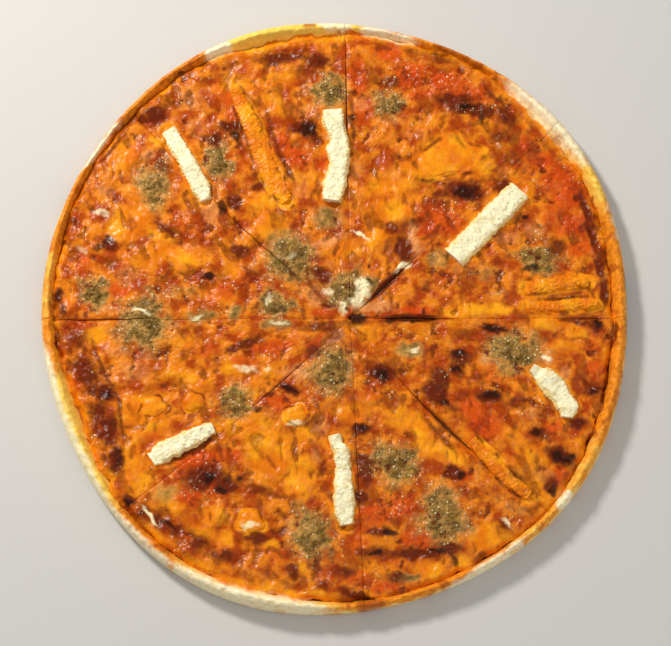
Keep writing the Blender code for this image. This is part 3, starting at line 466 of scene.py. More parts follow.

# Creases of the melted cheese, each sunk a little and darkened with painted shade, one a painted shadow below
# brie_6,
# and browned bands: (half width, strength, points).
SHADED_CREASES = (
    (3.6, 1, ((8.6, -8), (11, -8.4), (14, -8.6), (17, -8.4))),
    (1.8, .8, ((-14, 16), (-9, 8), (-4, 1), (1, -3))),
    (1.5, 1.0, ((-92, -96), (-84, -104), (-77, -109), (-66, -113), (-56, -120))),
    (1.8, .9, ((-36, 108), (-32, 97), (-29, 86), (-25, 75), (-20, 65), (-16, 56))),
    (1.5, .9, ((-106, 92), (-107, 84), (-112, 77), (-118, 70))),
    (1.7, .8, ((-90, 41), (-82, 39), (-75, 36), (-71, 31))), (1.7, 1, ((100, 2), (110, 1.6), (123, 4.5))),
    (1.5, .9, ((75, 119), (79, 111), (88, 102), (96, 92))),
    (1.7, .9, ((122, 58), (127, 45), (129, 34), (133, 20))),
    (2.0, 1, ((-80, -81), (-70, -74), (-60, -69), (-54, -66))), (1.5, .8, ((42, 31), (50, 35), (56, 41))),
    (1.5, .9, ((-117, -14), (-114, -25), (-109, -36), (-102, -48), (-99, -66), (-97, -82))),
    (1.5, .8, ((-12, 20), (-12, 13), (-8, 9))), (1.4, .8, ((-40, -91), (-28, -94), (-17, -97))),
    (1.2, .7, ((-32, -75), (-28, -79), (-25, -83))),
    (1.8, .8, ((-58, 126), (-44, 132), (-25, 134), (-8, 134))),
    (1.7, 1, ((108, -8.4), (120, -8.4), (134, -7.6))),
    (1.5, .8, ((46, 63), (56, 61.6), (66, 61), (78, 62))), (1.5, .8, ((40, -54), (52, -66), (62, -78))),
    (1.4, .7, ((-103, -60), (-94, -62), (-86, -60))),
    (1.5, .8, ((94, -30), (100, -40), (104, -50), (107, -58))),
    (1.4, .8, ((-45, 104), (-40, 95), (-37, 84))), (1.4, .7, ((8, 40), (0, 34), (-6, 31))),
    (1.5, .8, ((9.6, 112), (10.4, 98), (10.6, 84), (9.8, 66))),
)
TOAST_BANDS = (
    (6.0, .9, ((-127, -6), (-121, -28), (-113, -50), (-106, -70), (-101, -94))),
    (4.0, .9, ((-100, -94), (-86, -104), (-72, -111), (-54, -121), (-32, -130))),
    (3.2, .8, ((116, 72), (126, 50), (131, 30), (134, 8))),
    (3.4, .8, ((0, -121), (24, -122), (48, -121), (66, -118))),
    (3.0, .7, ((-62, 122), (-44, 130), (-24, 134), (-4, 133))),
    (2.6, .8, ((-36, 58), (-38, 70), (-43, 84), (-48, 96))),
    (3.0, .8, ((44, 58), (56, 56), (68, 60), (78, 66))),
    (3.4, .8, ((-66, -78), (-58, -88), (-46, -90), (-30, -94))),
    (2.6, .7, ((40, -40), (50, -48), (62, -56), (74, -66))),
    (2.4, .7, ((112, -82), (106, -72), (100, -62))),
)

# Colour lines of the rim: (half width, strength, points), and its two small cream spots.
RIM_CREAM = (
    (3.4, .9, ((12, 145), (28, 142), (46, 135))),
    (5.5, 1, ((84, 119), (97, 106), (108, 94), (118, 84), (132, 66))),
    (3.0, .9, ((106, -102), (109, -97), (112, -92))),
    (2.2, .9, ((50, -141), (66, -132), (80, -123), (94, -112))),
    (4.4, 1, ((6, -149), (-12, -147), (-30, -144), (-50, -140), (-66, -133), (-80, -124))),
    (2.4, 1, ((-70, -130), (-86, -120), (-100, -106), (-112, -92))),
    (3.0, 1, ((-96, -111), (-110, -93), (-122, -72), (-131, -52), (-137, -30), (-140, -16))),
    (5.0, .9, ((-50, 137), (-57, 133), (-64, 127))), (3.0, .8, ((-10, 148), (2, 147), (12, 145))),
    (1.6, .5, ((134, 56), (140, 38), (144, 16))), (1.3, .8, ((-104, 96), (-114, 84), (-125, 66))),
)
RIM_YELLOW = (
    (9.0, 1, ((-66, 127), (-45, 137), (-20, 144), (6, 144), (26, 140))),
    (7.0, .9, ((-96, -106), (-112, -86), (-122, -66), (-128, -48), (-133, -28))),
    (7.0, .9, ((10, -146), (-10, -143), (-34, -140), (-58, -133), (-80, -119))),
    (6.0, .7, ((92, 108), (108, 92), (122, 76), (131, 60), (137, 40))),
    (4.0, .5, ((-138, -12), (-140, 5), (-137, 30))),
    (4.0, .5, ((130, -60), (120, -80), (106, -98), (88, -114), (60, -133))),
)
# Toasted marks of the rim, and painted shadow lines along its outer edge at the upper right and the right.
RIM_TOAST_AND_SHADE = (
    (2.0, .9, ((-15, 147), (-11, 146.5), (-7, 146))), (1.6, .9, ((3, 143), (5, 143))),
    (1.6, .9, ((10, 141.5), (12, 141))), (3.4, .9, ((10, -147), (19, -146), (26, -144))),
    (2.2, .5, ((-136, 40), (-141, 20), (-142, 4))), (1.6, .8, ((48, 138), (66, 131), (84, 119))),
    (2.4, .5, ((-70, 128), (-80, 121), (-92, 110))), (2.0, .5, ((132, 44), (134, 30), (137, 14))),
    (2.6, .5, ((141, -30), (138, -46), (130, -62))), (2.2, .6, ((112, 88), (113, 84), (112, 80))),
    (1.6, .7, ((-126, 66), (-132, 54), (-137, 42))),
)
# Painted shade on the rim's outer side at the right: (half width, strength, points).
RIM_SHADE = ((2.2, .9, ((143.5, 20), (145, 2), (144.5, -18), (142.5, -30))),)
RIM_SPOTS = ((109, -97.5, 3, 3, 0, .9), (89, -118, 3, 2, 0, .8))


# Layout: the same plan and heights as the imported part, for whole arrays.
def edge_place(angle):
    """Plan position of the outer edge at angles in radians: r(a) = R + sum of c cos(na) + s sin(na)."""
    radius = RADIUS + sum(c * np.cos(n * angle) + s * np.sin(n * angle) for n, c, s in EDGE_WAVES)
    return radius * np.cos(angle), radius * np.sin(angle)


def rim_value(angle, column):
    """Rim width (column 1) or crest height (column 2) at angles in radians, eased between the places."""
    ring = np.array([place[0] for place in RIM_PLACES] + [RIM_PLACES[0][0] + 360.0])
    value = np.array([place[column] for place in RIM_PLACES] + [RIM_PLACES[0][column]])
    turn = np.mod(np.degrees(angle), 360.0)
    k = np.clip(np.searchsorted(ring, turn, side="right") - 1, 0, len(RIM_PLACES) - 1)
    t = (turn - ring[k]) / (ring[k + 1] - ring[k])
    return value[k] + (value[k + 1] - value[k]) * (0.5 - 0.5 * np.cos(math.pi * t))


def bow_place(cut, angle, v):
    """Sideways shift 4v(1 - v) times the bow, at right angles to the cut."""
    ex, ey = edge_place(angle)
    length = np.hypot(ex - HUB[0], ey - HUB[1])
    push = 4.0 * v * (1.0 - v) * cut[1] / length
    return -(ey - HUB[1]) * push, (ex - HUB[0]) * push


def cut_gap(cut, v):
    """Width of a cut at share v of its length: melted shut to a thin line except where it has opened."""
    hub = HUB_GAP * np.exp(-v / HUB_GAP_REACH)
    return CLOSED_SHARE * cut[2] + hub + cut[3] * np.exp(-((v - cut[4]) / cut[5]) ** 2)


def slice_cuts(number):
    """The two cuts beside a slice."""
    return CUTS[number - 1], CUTS[number % len(CUTS)]


def sector_place(number, u, v):
    """Plan position at share u between the cuts of a slice and share v from hub to edge."""
    first, second = slice_cuts(number)
    start = math.radians(first[0])
    end = start + math.radians((second[0] - first[0]) % 360)
    ex, ey = edge_place(start + (end - start) * u)
    ax, ay = bow_place(first, start, v)
    bx, by = bow_place(second, end, v)
    x = HUB[0] + (ex - HUB[0]) * v + ax * (1.0 - u) + bx * u
    y = HUB[1] + (ey - HUB[1]) * v + ay * (1.0 - u) + by * u
    return x, y


def slice_place(number, across, v):
    """Plan position inside a slice, moved in from both cuts by half their gaps."""
    first, second = slice_cuts(number)
    x0, y0 = sector_place(number, 0.0 * v, v)
    x1, y1 = sector_place(number, 0.0 * v + 1.0, v)
    chord = np.hypot(x1 - x0, y1 - y0)
    low = cut_gap(first, v) / 2.0 / chord
    high = 1.0 - cut_gap(second, v) / 2.0 / chord
    return sector_place(number, low + (high - low) * across[None, :], v)


def slice_edge(number, across):
    """Edge position along shares of a slice, its direction, and its distance from the hub."""
    x, y = sector_place(number, across, 0.0 * across + 1.0)
    return x, y, np.arctan2(y, x), np.hypot(x - HUB[0], y - HUB[1])


def cut_offset(cut, x, y):
    """Distance of places from a cut, positive on its left, and half the cut's width beside them."""
    ex, ey = edge_place(math.radians(cut[0]))
    length = math.hypot(ex - HUB[0], ey - HUB[1])
    dx = (ex - HUB[0]) / length
    dy = (ey - HUB[1]) / length
    v = np.clip(((x - HUB[0]) * dx + (y - HUB[1]) * dy) / length, 0.0, 1.0)
    across = (y - HUB[1]) * dx - (x - HUB[0]) * dy
    return across - 4.0 * v * (1.0 - v) * cut[1], cut_gap(cut, v) / 2.0


def cut_depths(number, x, y):
    """Depths inside a slice from the faces of its two cuts, and half the widths of these."""
    first, second = slice_cuts(number)
    left, half_left = cut_offset(first, x, y)
    right, half_right = cut_offset(second, x, y)
    return left - half_left, -right - half_right, half_left, half_right


def near_cut(number, x, y):
    """Distance to the nearer face of the two cuts of a slice, and half that cut's width."""
    a, b, half_left, half_right = cut_depths(number, x, y)
    return np.clip(np.minimum(a, b), 0.0, None), np.where(a < b, half_left, half_right)


def in_slice(number, x, y):
    """Whether places are between the cuts of a slice; everywhere for number 0."""
    if not number:
        return np.ones(np.shape(x), bool)
    a, b = cut_depths(number, x, y)[:2]
    return (a > 0.0) & (b > 0.0)


def relief(x, y):
    """Uneven height of the melted cheese: a sum of slanted sine waves."""
    total = 0.0
    for size, height, direction, phase in RELIEF_WAVES:
        turn = math.radians(direction)
        along = x * math.cos(turn) + y * math.sin(turn)
        total = total + height * np.sin(2.0 * math.pi * along / size + phase)
    return total


def rim_crest(x, y, angle):
    """Crest height of the rim with its slow unevenness."""
    return rim_value(angle, 2) + 0.35 * waves_noise(x, y, 14.0, 611)


def rim_inner(part, crest):
    """Height of the rim between its crest and its inner foot, at a share of its width from the edge."""
    fall = np.clip((part - CREST_SHARE) / (1.0 - CREST_SHARE), 0.0, 1.0)
    return DOUGH_TOP + (crest - DOUGH_TOP) * (0.5 + 0.5 * np.cos(math.pi * fall))


def bubbles(x, y, size, seed):
    """Froth from -0.6 to 1: most cells are round domes, the others are burst and hollow."""
    nearest, number = cells(x, y, size, seed)
    dome = np.sqrt(np.clip(1.0 - (nearest / 0.62) ** 2, 0.0, 1.0))
    return np.where(number > 0.4, dome * (0.5 + 0.5 * number), -0.6 * smooth(0.5, 0.1, nearest))


def fine_froth(x, y):
    """Two sizes of froth in millimetres."""
    return 0.42 * bubbles(x, y, 1.9, 81) + 0.2 * bubbles(x, y, 1.15, 83)


def crust_bumps(x, y):
    """Height of the crust's bumps and blisters in millimetres."""
    puff = noise("puff", x, y) + noise("fine puff", x, y)
    return puff + 0.5 * smooth(0.45, 0.1, cells(x, y, 7.0, 627)[0]) + 0.18 * bubbles(x, y, 2.2, 629)


# Fields of the melted top.
def strengthen(masks, key, value):
    """Raises one mask to a value wherever that is more."""
    masks[key] = np.maximum(masks[key], value)


def melted_masks(x, y):
    """How gold, red, toasted, dark, mossy, pale, creamy and frothy the melted top is, and its form.

    Each mask is the largest of its spots, its veil and the marks round the toppings, from 0 to 1.
    Toast and dark also hold painted shade in creases, hollows, fold valleys and round the cheddar;
    pale also holds a painted highlight on the fold crests.
    """
    masks = {key: spots(x, y, places) for key, places in SPOTS.items()}
    shaded_crease = strokes(x, y, SHADED_CREASES)
    bands = strokes(x + noise("band bend", x, y), y, TOAST_BANDS) * veil("bands", x, y)
    strengthen(masks, "toast", 0.9 * bands)
    wx = x + noise("moss along", x, y)
    wy = y + noise("moss across", x, y)
    for clump in BLUE_CLUMPS:
        share = clump_share(wx, wy, clump[1:])
        strengthen(masks, "moss", smooth(2.1, 0.3, share))
        strengthen(masks, "froth", smooth(2.0, 1.0, share))
    # Painted shadow: a ring of shade on the cheese just outside each cheddar strip and lump.
    border = np.zeros(np.shape(x))
    for strip in CHEDDAR_STRIPS:
        outside = beside_strip(x, y, strip[2])
        strengthen(masks, "gold", smooth(2.4, 0.4, outside))
        border = np.maximum(border, 0.7 * np.exp(-((outside - 0.4) / 1.2) ** 2))
    for chunk in CHEDDAR_CHUNKS:
        share = clump_share(x, y, chunk[1:])
        strengthen(masks, "gold", smooth(1.3, 1.0, share))
        border = np.maximum(border, 0.75 * np.exp(-((share - 1.06) / 0.15) ** 2))
    melted = noise("brie border", x, y)
    for strip in BRIE_STRIPS:
        strengthen(masks, "gold", 0.6 * smooth(3.0, 0.5, beside_strip(x, y, strip[2]) + melted))
    gold = masks["gold"]
    moss = masks["moss"]
    lump = cloudy(x, y, 8.0, 61, 4, 0.55)
    bend = 4.0 * waves_noise(x, y, 16.0, 73)
    fold = 1.0 - np.abs(cloudy(x + bend, 0.6 * y - bend, 9.0, 75, 3))
    for key in ("red", "toast", "pale", "froth"):
        strengthen(masks, key, veil(key, x, y) * (1.0 - 0.8 * np.maximum(gold, moss)))
    # Painted shade in hollows: toast rises where the lump noise, which also lowers the relief, is low.
    strengthen(masks, "toast", 0.7 * smooth(0.2, 0.9, -lump) * (1.0 - 0.85 * gold))
    masks["froth"] = masks["froth"] * (1.0 - 0.8 * gold)
    nearest, number = cells(x, y, 4.2, 77)
    pepper = smooth(0.26, 0.1, nearest) * (number > 0.45)
    peppered = np.maximum(np.maximum(0.8 * masks["toast"], masks["froth"]), 0.25)
    # Painted shade in the creases, through the dark mask here and the toast mask below.
    strengthen(masks, "dark", 0.2 * shaded_crease)
    strengthen(masks, "dark", 0.5 * pepper * peppered * (1.0 - 0.7 * gold))
    # Painted shade in the fold valleys (toast mask) and painted highlight on the fold crests (pale mask).
    strengthen(masks, "toast", 0.5 * smooth(0.72, 0.35, fold) * (1.0 - 0.4 * moss))
    strengthen(masks, "pale", 0.4 * smooth(0.9, 1.0, fold) * (1.0 - moss))
    # The painted shadow ring round the cheddar goes into the toast mask, broken by a veil.
    strengthen(masks, "toast", border * veil("border", x, y))
    # Painted shade in the creases, through the toast mask.
    strengthen(masks, "toast", 0.75 * shaded_crease)
    return masks, {"shaded_crease": shaded_crease, "lump": lump, "fold": fold}


def melted_height(x, y, masks, form):
    """Small relief of the melted top in millimetres: lumps, froth, blisters, soft gold ridges and creases."""
    folds = 0.5 * (form["fold"] - 0.7)
    lumps = (0.68 * form["lump"] + noise("grit", x, y) + folds) * (1.0 - 0.6 * masks["gold"])
    froth = masks["froth"] * fine_froth(x, y)
    blisters = masks["toast"] * noise("blister", x, y) + 0.3 * masks["dark"]
    ridges = masks["gold"] * (0.22 + folds)
    moss = masks["moss"] * noise("moss", x, y)
    return lumps + froth + blisters + ridges + moss + 0.2 * masks["pale"] - 0.45 * form["shaded_crease"]


# Meshes.
def solid(name, points, masks, material):
    """Closed smooth surface through rows of closed loops, in plan millimetres, with one face at each end."""
    rows, around = points.shape[:2]
    count = rows * around
    corner = np.arange(count).reshape(rows, around)
    after = np.roll(corner, -1, axis=1)
    quads = np.stack([corner[:-1], after[:-1], after[1:], corner[1:]], axis=-1).reshape(-1, 4)
    place = points.reshape(-1, 3) * MM
    place = place + np.array([SHIFT[0], SHIFT[1], 0.0]) * MM
    a, b, c = place[quads[:, 0]], place[quads[:, 1]], place[quads[:, 2]]
    volume = np.einsum("ij,ij->i", a, np.cross(b, c)).sum()
    first = corner[0][::-1]
    last = corner[-1]
    if volume < 0.0:
        quads, first, last = quads[:, ::-1], first[::-1], last[::-1]
    loops = np.concatenate([quads.ravel(), first, last])
    starts = np.concatenate([np.arange(len(quads)) * 4, [len(quads) * 4, len(quads) * 4 + around]])
    mesh = bpy.data.meshes.new(name)
    mesh.vertices.add(count)
    mesh.vertices.foreach_set("co", place.astype(np.float32).ravel())
    mesh.loops.add(len(loops))
    mesh.loops.foreach_set("vertex_index", loops.astype(np.int32))
    mesh.polygons.add(len(starts))
    mesh.polygons.foreach_set("loop_start", starts.astype(np.int32))
    mesh.update(calc_edges=True)
    mesh.validate()
    mesh.shade_smooth()
    for key, values in masks.items():
        layer = mesh.attributes.new(key, "FLOAT", "POINT")
        layer.data.foreach_set("value", np.ascontiguousarray(values, np.float32).ravel())
    obj = bpy.data.objects.new(name, mesh)
    bpy.context.scene.collection.objects.link(obj)
    mesh.materials.append(material)
    return obj


def add_piece(name, points, masks, material, node):
    """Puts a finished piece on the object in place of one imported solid."""
    obj = solid(name, points, masks, material)
    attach(obj, "root")
    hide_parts(node)


def loop_shares(bottom, side, top):
    """Across share and level of a closed loop: along the bottom, up one side, over the top and down again."""
    rise = np.linspace(0.0, 1.0, side + 2)[1:-1]
    back = np.linspace(1.0, 0.0, bottom)
    across = np.concatenate([back, 0.0 * rise, np.linspace(0.0, 1.0, top), 0.0 * rise + 1.0])
    level = np.concatenate([np.zeros(bottom), rise, np.ones(top), rise[::-1]])
    return across, level


def cheese_surface(number, columns, rows):
    """Melted layer of one slice: z = 8.7 + relief + small relief, rounded down to a lip at its outer edge."""
    across, level = loop_shares(8, 3, columns)
    ex, ey, angle, ray = slice_edge(number, across)
    width = rim_value(angle, 1)
    crest = rim_crest(ex, ey, angle)
    lobes = 0.07 * np.sin(CHEESE_LOBES * angle) + noise("lobes", ex, ey)
    v_edge = 1.0 - width * np.clip(CHEESE_REACH + lobes, 0.55, 0.96) / ray
    s = np.linspace(0.0, 1.0, rows)
    t = np.concatenate([1.0 - (1.0 - s) ** 1.25, [1.0012, 1.0008]])[:, None]
    sink = np.concatenate([np.ones(rows), [0.45, 0.02]])[:, None]
    v = TIP_SHARE + (v_edge - TIP_SHARE) * t
    x, y = slice_place(number, across, v)
    masks, form = melted_masks(x, y)
    full = CHEESE_TOP + relief(x, y) + melted_height(x, y, masks, form)
    inside = np.clip((v_edge - v) * ray, 0.0, None)
    drop = np.clip(1.0 - inside / (2.0 * CHEESE_ROUNDING), 0.0, 1.0) ** 2.2
    part = np.clip((1.0 - v) * ray / width, 0.0, 1.0)
    bumps = np.sin(math.pi * part) ** 0.5 * crust_bumps(x, y)
    lip = np.maximum(CHEESE_LIP, rim_inner(part, crest) + bumps + 0.12)
    full = full + (lip - full) * drop
    near, half = near_cut(number, x, y)
    opened = smooth(0.1, 0.6, half)
    full = full - (0.25 + 0.9 * opened) * np.exp(-(near / 0.9) ** 2)
    for strip in BRIE_STRIPS:
        full = full - 0.8 * smooth(4.2, 2.4, line_distance(x, y, strip[2])[0])
    full = np.maximum(full, lip)
    z = CHEESE_BOTTOM + level * np.maximum(full - CHEESE_BOTTOM, 0.4) * sink
    side = 1.0 - smooth(0.55, 0.98, np.broadcast_to(level, v.shape))
    foot = veil("rim foot", x, y)
    cream = strokes(x, y, RIM_CREAM)
    glow = smooth(9.0, 1.5, inside + noise("glow border", x, y))
    glow = np.maximum(strokes(x, y, RIM_YELLOW), cream) * glow
    strengthen(masks, "pale", 0.7 * side)
    # Painted shade beside the cuts, wider and darker where a cut has opened.
    strengthen(masks, "toast", (0.2 + 0.7 * opened) * np.exp(-(near / (0.8 + 1.2 * opened)) ** 2))
    masks["toast"] = masks["toast"] * (1.0 - 0.8 * glow)
    # Painted shade at the rim's foot, where the cheese meets the crust; the crust has the same painted shade.
    strengthen(masks, "toast", 0.75 * foot * smooth(6.0, 0.5, inside) * (1.0 - glow))
    strengthen(masks, "gold", 0.8 * (1.0 - foot) * smooth(7.0, 1.0, inside))
    strengthen(masks, "gold", glow)
    strengthen(masks, "cream", 0.7 * cream * smooth(3.5, 0.2, inside))
    masks["dark"] = masks["dark"] * (1.0 - side)
    return np.stack([x, y, z], axis=-1), masks


def dough_surface(number, columns, rows):
    """Crust of one slice: flat base, then a rim that rises to its crest and rounds under to the edge."""
    across, level = loop_shares(columns, 3, columns)
    ex, ey, angle, ray = slice_edge(number, across)
    width = rim_value(angle, 1)
    crest = rim_crest(ex, ey, angle)
    base = np.linspace(0.0, 1.0, rows // 2)[:, None]
    share = ((1.0 - np.linspace(0.0, 1.0, rows - rows // 2)) ** 1.7)[:, None]
    v_rim = 1.0 - width / ray
    v = np.concatenate([TIP_SHARE + (v_rim - TIP_SHARE) * base, 1.0 - share[1:] * width / ray])
    x, y = slice_place(number, across, v)
    depth = (1.0 - v) * ray
    part = np.clip(depth / width, 0.0, 1.0)
    low_side = np.clip(1.0 - part / CREST_SHARE, 0.0, 1.0)
    outer = SIDE_HEIGHT + (crest - SIDE_HEIGHT) * np.sqrt(np.clip(1.0 - low_side ** 2, 0.0, 1.0))
    body = np.sin(math.pi * part) ** 0.5 * (depth > 0.01)
    top = np.where(part < CREST_SHARE, outer, rim_inner(part, crest)) + body * crust_bumps(x, y)
    under = np.clip(1.0 - depth / UNDERCUT, 0.0, 1.0)
    bottom = SIDE_HEIGHT * (1.0 - np.sqrt(1.0 - under ** 2))
    bottom = bottom + np.where(depth > UNDERCUT, np.abs(noise("base", x, y)), 0.0)
    z = bottom + level * (top - bottom)
    cream = np.maximum(strokes(x, y, RIM_CREAM), spots(x, y, RIM_SPOTS))
    yellow = strokes(x, y, RIM_YELLOW)
    inner = smooth(0.35, 0.95, part) * (level > 0.5)
    dry = 1.0 - np.maximum(yellow, cream)
    side = smooth(0.3, 0.0, part) * veil("crust side", x + 2.0 * z, y - 2.0 * z)
    # Toast holds the rim's toasted marks and painted shadow lines, and painted shade on the rim's inner foot
    # where it meets the cheese.
    toast = np.maximum(strokes(x, y, RIM_TOAST_AND_SHADE), 0.75 * inner * dry * veil("rim foot", x, y))
    masks = {
        "cream": np.maximum(cream * (1.0 - 0.6 * smooth(0.5, 1.0, part)), 0.45 * side),
        "gold": np.maximum(yellow, 0.8 * side),
        "toast": np.maximum(toast, veil("crust", x, y) * (1.0 - 0.9 * np.maximum(cream, 0.9 * yellow))),
        # Painted shade on the rim's right outer side goes in the moss mask and shows as the grey crust
        # colour.
        "moss": strokes(x, y, RIM_SHADE),
        "under": (level < 0.5) * smooth(1.2, 2.8, depth),
        "crumb": np.broadcast_to((level > 0.0) & (level < 1.0), v.shape),
        "dark": veil("char", x, y) * (level < 0.5),
    }
    return np.stack([x, y, z], axis=-1), masks


def sauce_surface(number, columns, rows):
    """Thin sauce of one slice, which ends just inside the rim, with an uneven shiny top."""
    across, level = loop_shares(8, 1, columns)
    angle, ray = slice_edge(number, across)[2:]
    v_edge = 1.0 - (rim_value(angle, 1) + SAUCE_MARGIN) / ray
    t = 1.0 - (1.0 - np.linspace(0.0, 1.0, rows)[:, None]) ** 2
    x, y = slice_place(number, across, TIP_SHARE + (v_edge - TIP_SHARE) * t)
    z = SAUCE_BOTTOM + level * (SAUCE_TOP + noise("sauce", x, y) - SAUCE_BOTTOM)
    return np.stack([x, y, z], axis=-1), {"toast": veil("sauce", x, y)}


def lump_centre(clump, number):
    """The lump's middle, or the middle of its part inside one slice."""
    if not number:
        return clump[0], clump[1]
    span = np.linspace(-1.3, 1.3, 90)
    x, y = np.meshgrid(clump[0] + span * clump[2] * 1.2, clump[1] + span * clump[3] * 1.2)
    inside = (clump_share(x, y, clump) < 1.0) & in_slice(number, x, y)
    return x[inside].mean(), y[inside].mean()


def lump_surface(clump, number, crumbly):
    """Low lump over a star-shaped plan: z = bottom + height times a falling profile, plus crumbs or ridges.

    The plan reaches from its centre, at each angle, to the lump's outline or to the nearest cut.
    """
    centre = lump_centre(clump, number)
    turn = np.linspace(0.0, 2.0 * math.pi, 128, endpoint=False)[:, None]
    r = np.linspace(0.0, 2.6 * max(clump[2], clump[3]), 260)
    x = centre[0] + r * np.cos(turn)
    y = centre[1] + r * np.sin(turn)
    stop = np.argmin((clump_share(x, y, clump) < 1.0) & in_slice(number, x, y), axis=1)
    reach = r[np.maximum(stop - 1, 1)]
    q = np.concatenate([np.linspace(0.03, 1.0, 46) ** 0.9, [1.0, 1.0, 1.0], [0.96, 0.6, 0.05]])[:, None]
    sink = np.concatenate([np.ones(46), [0.75, 0.45, 0.1], np.zeros(3)])[:, None]
    x = centre[0] + q * reach * np.cos(turn[:, 0])
    y = centre[1] + q * reach * np.sin(turn[:, 0])
    share = clump_share(x, y, clump)
    if crumbly:
        rise = 0.34 + 0.66 * smooth(1.02, 0.25, share)
        small = noise("crumble", x, y) + fine_froth(x, y)
    else:
        rise = np.interp(share, (0.0, 0.5, 0.8, 1.0), (1.0, 0.97, 0.82, 0.42))
        small = noise("ridge", x, y) + noise("fine ridge", x, y)
    top = np.maximum(clump[5] * rise + small * smooth(1.05, 0.7, share * q), 0.5)
    return np.stack([x, y, TOPPING_BOTTOM + top * sink], axis=-1), melted_masks(x, y)[0]


def smoothed(values):
    """Mean over fifteen neighbours under a bell."""
    kernel = np.hanning(15) / np.hanning(15).sum()
    return np.convolve(np.pad(values, 7, mode="edge"), kernel, "valid")


def strip_surface(places, height, number, rounding, roughness):
    """Long piece: a section z = h (1 - |a|^n)^(1/3) over the flat bottom, carried along its places."""
    places = np.array(places)
    step = np.hypot(*np.diff(places[:, :2], axis=0).T)
    length = np.concatenate([[0.0], np.cumsum(step)])
    stations = int(length[-1] / 0.33)
    s = np.linspace(0.0, length[-1], stations)
    px, py, half = (np.interp(s, length, places[:, k]) for k in range(3))
    k = np.interp(s, length, np.arange(len(places)))
    lift = 0.12 * np.sin(2.0 * k + half)
    tx = smoothed(np.gradient(px))
    ty = smoothed(np.gradient(py))
    norm = np.hypot(tx, ty)
    line = np.stack([px, py, -ty / norm, tx / norm, half, lift])
    px, py, nx, ny = line[:4, :, None]
    a = np.linspace(-1.0, 1.0, 161)
    inside = in_slice(number, px + nx * half[:, None] * a, py + ny * half[:, None] * a)
    low = np.where(inside, a, 2.0).min(axis=1)
    high = np.where(inside, a, -2.0).max(axis=1)
    line = np.concatenate([line, [low, high]])[:, high - low > 0.15]
    ends = np.array([0.5, 0.8, 0.94])
    grow = np.concatenate([ends, np.ones(line.shape[1]), ends[::-1]])[:, None]
    line = np.concatenate([line[:, [0, 0, 0]], line, line[:, [-1, -1, -1]]], axis=1)
    px, py, nx, ny, half, lift, low, high = line[:, :, None]
    across, level = loop_shares(8, 5, 34)
    ease = 0.5 - 0.5 * np.cos(math.pi * across)
    middle = (low + high) / 2.0
    a = low + (high - low) * (0.35 * across + 0.65 * ease)
    a = middle + (a - middle) * (0.7 + 0.3 * grow)
    bulge = 1.0 - 0.03 * (level < 0.2)
    x = px + nx * half * a * bulge
    y = py + ny * half * a * bulge
    shape = np.maximum(1.0 - np.abs(a) ** rounding, 0.0) ** (1.0 / 3.0)
    top = height * (1.0 + lift) * np.maximum(shape, 0.42) * (0.55 + 0.45 * grow)
    z = TOPPING_BOTTOM + level * (top + roughness * (noise("strip", x, y) + noise("fine strip", x, y)))
    coarse = waves_noise(x + y, z * 2.0 + x, 4.0, 685)
    wander = roughness * (2.2 * coarse + 1.3 * waves_noise(x - y, z + y, 1.6, 687))
    masks = {
        "edge": smooth(0.55, 0.98, np.abs(a)),
        "side": np.broadcast_to(1.0 - smooth(0.3, 0.9, level), x.shape),
    }
    return np.stack([x + nx * wander, y + ny * wander, z], axis=-1), masks


# Materials.
MELTED_COLOURS = (
    "Amber", "Deep amber", "Gold", "Deep gold", "Red", "Toast", "Dark", "Moss", "Deep moss", "Pale", "Cream",
)
CRUST_MASKS = ("gold", "cream", "toast", "moss", "under", "crumb", "dark")
CRUST_COLOURS = (
    "Crust", "Crust yellow", "Crust cream", "Crust toast", "Crust grey", "Underside", "Crumb", "Dark",
)
BRIE_MASKS = ("edge", "side")
BRIE_COLOURS = ("Brie", "Brie shade", "Rind")
COAT_ROUGHNESS = 0.14
SPECULAR_LEVEL = 0.12
BUMP_DISTANCE = 0.0004
SUBSURFACE_SCALE = 0.0015
SUBSURFACE_RADIUS = (1.0, 0.6, 0.3)


def add_node(tree, kind, inputs=(), **settings):
    """Adds a node; inputs pairs a socket name or number with a value or with another node's output."""
    node = tree.nodes.new(kind)
    for key, value in settings.items():
        setattr(node, key, value)
    for key, value in inputs:
        if isinstance(value, bpy.types.NodeSocket):
            tree.links.new(value, node.inputs[key])
        else:
            node.inputs[key].default_value = value
    return node


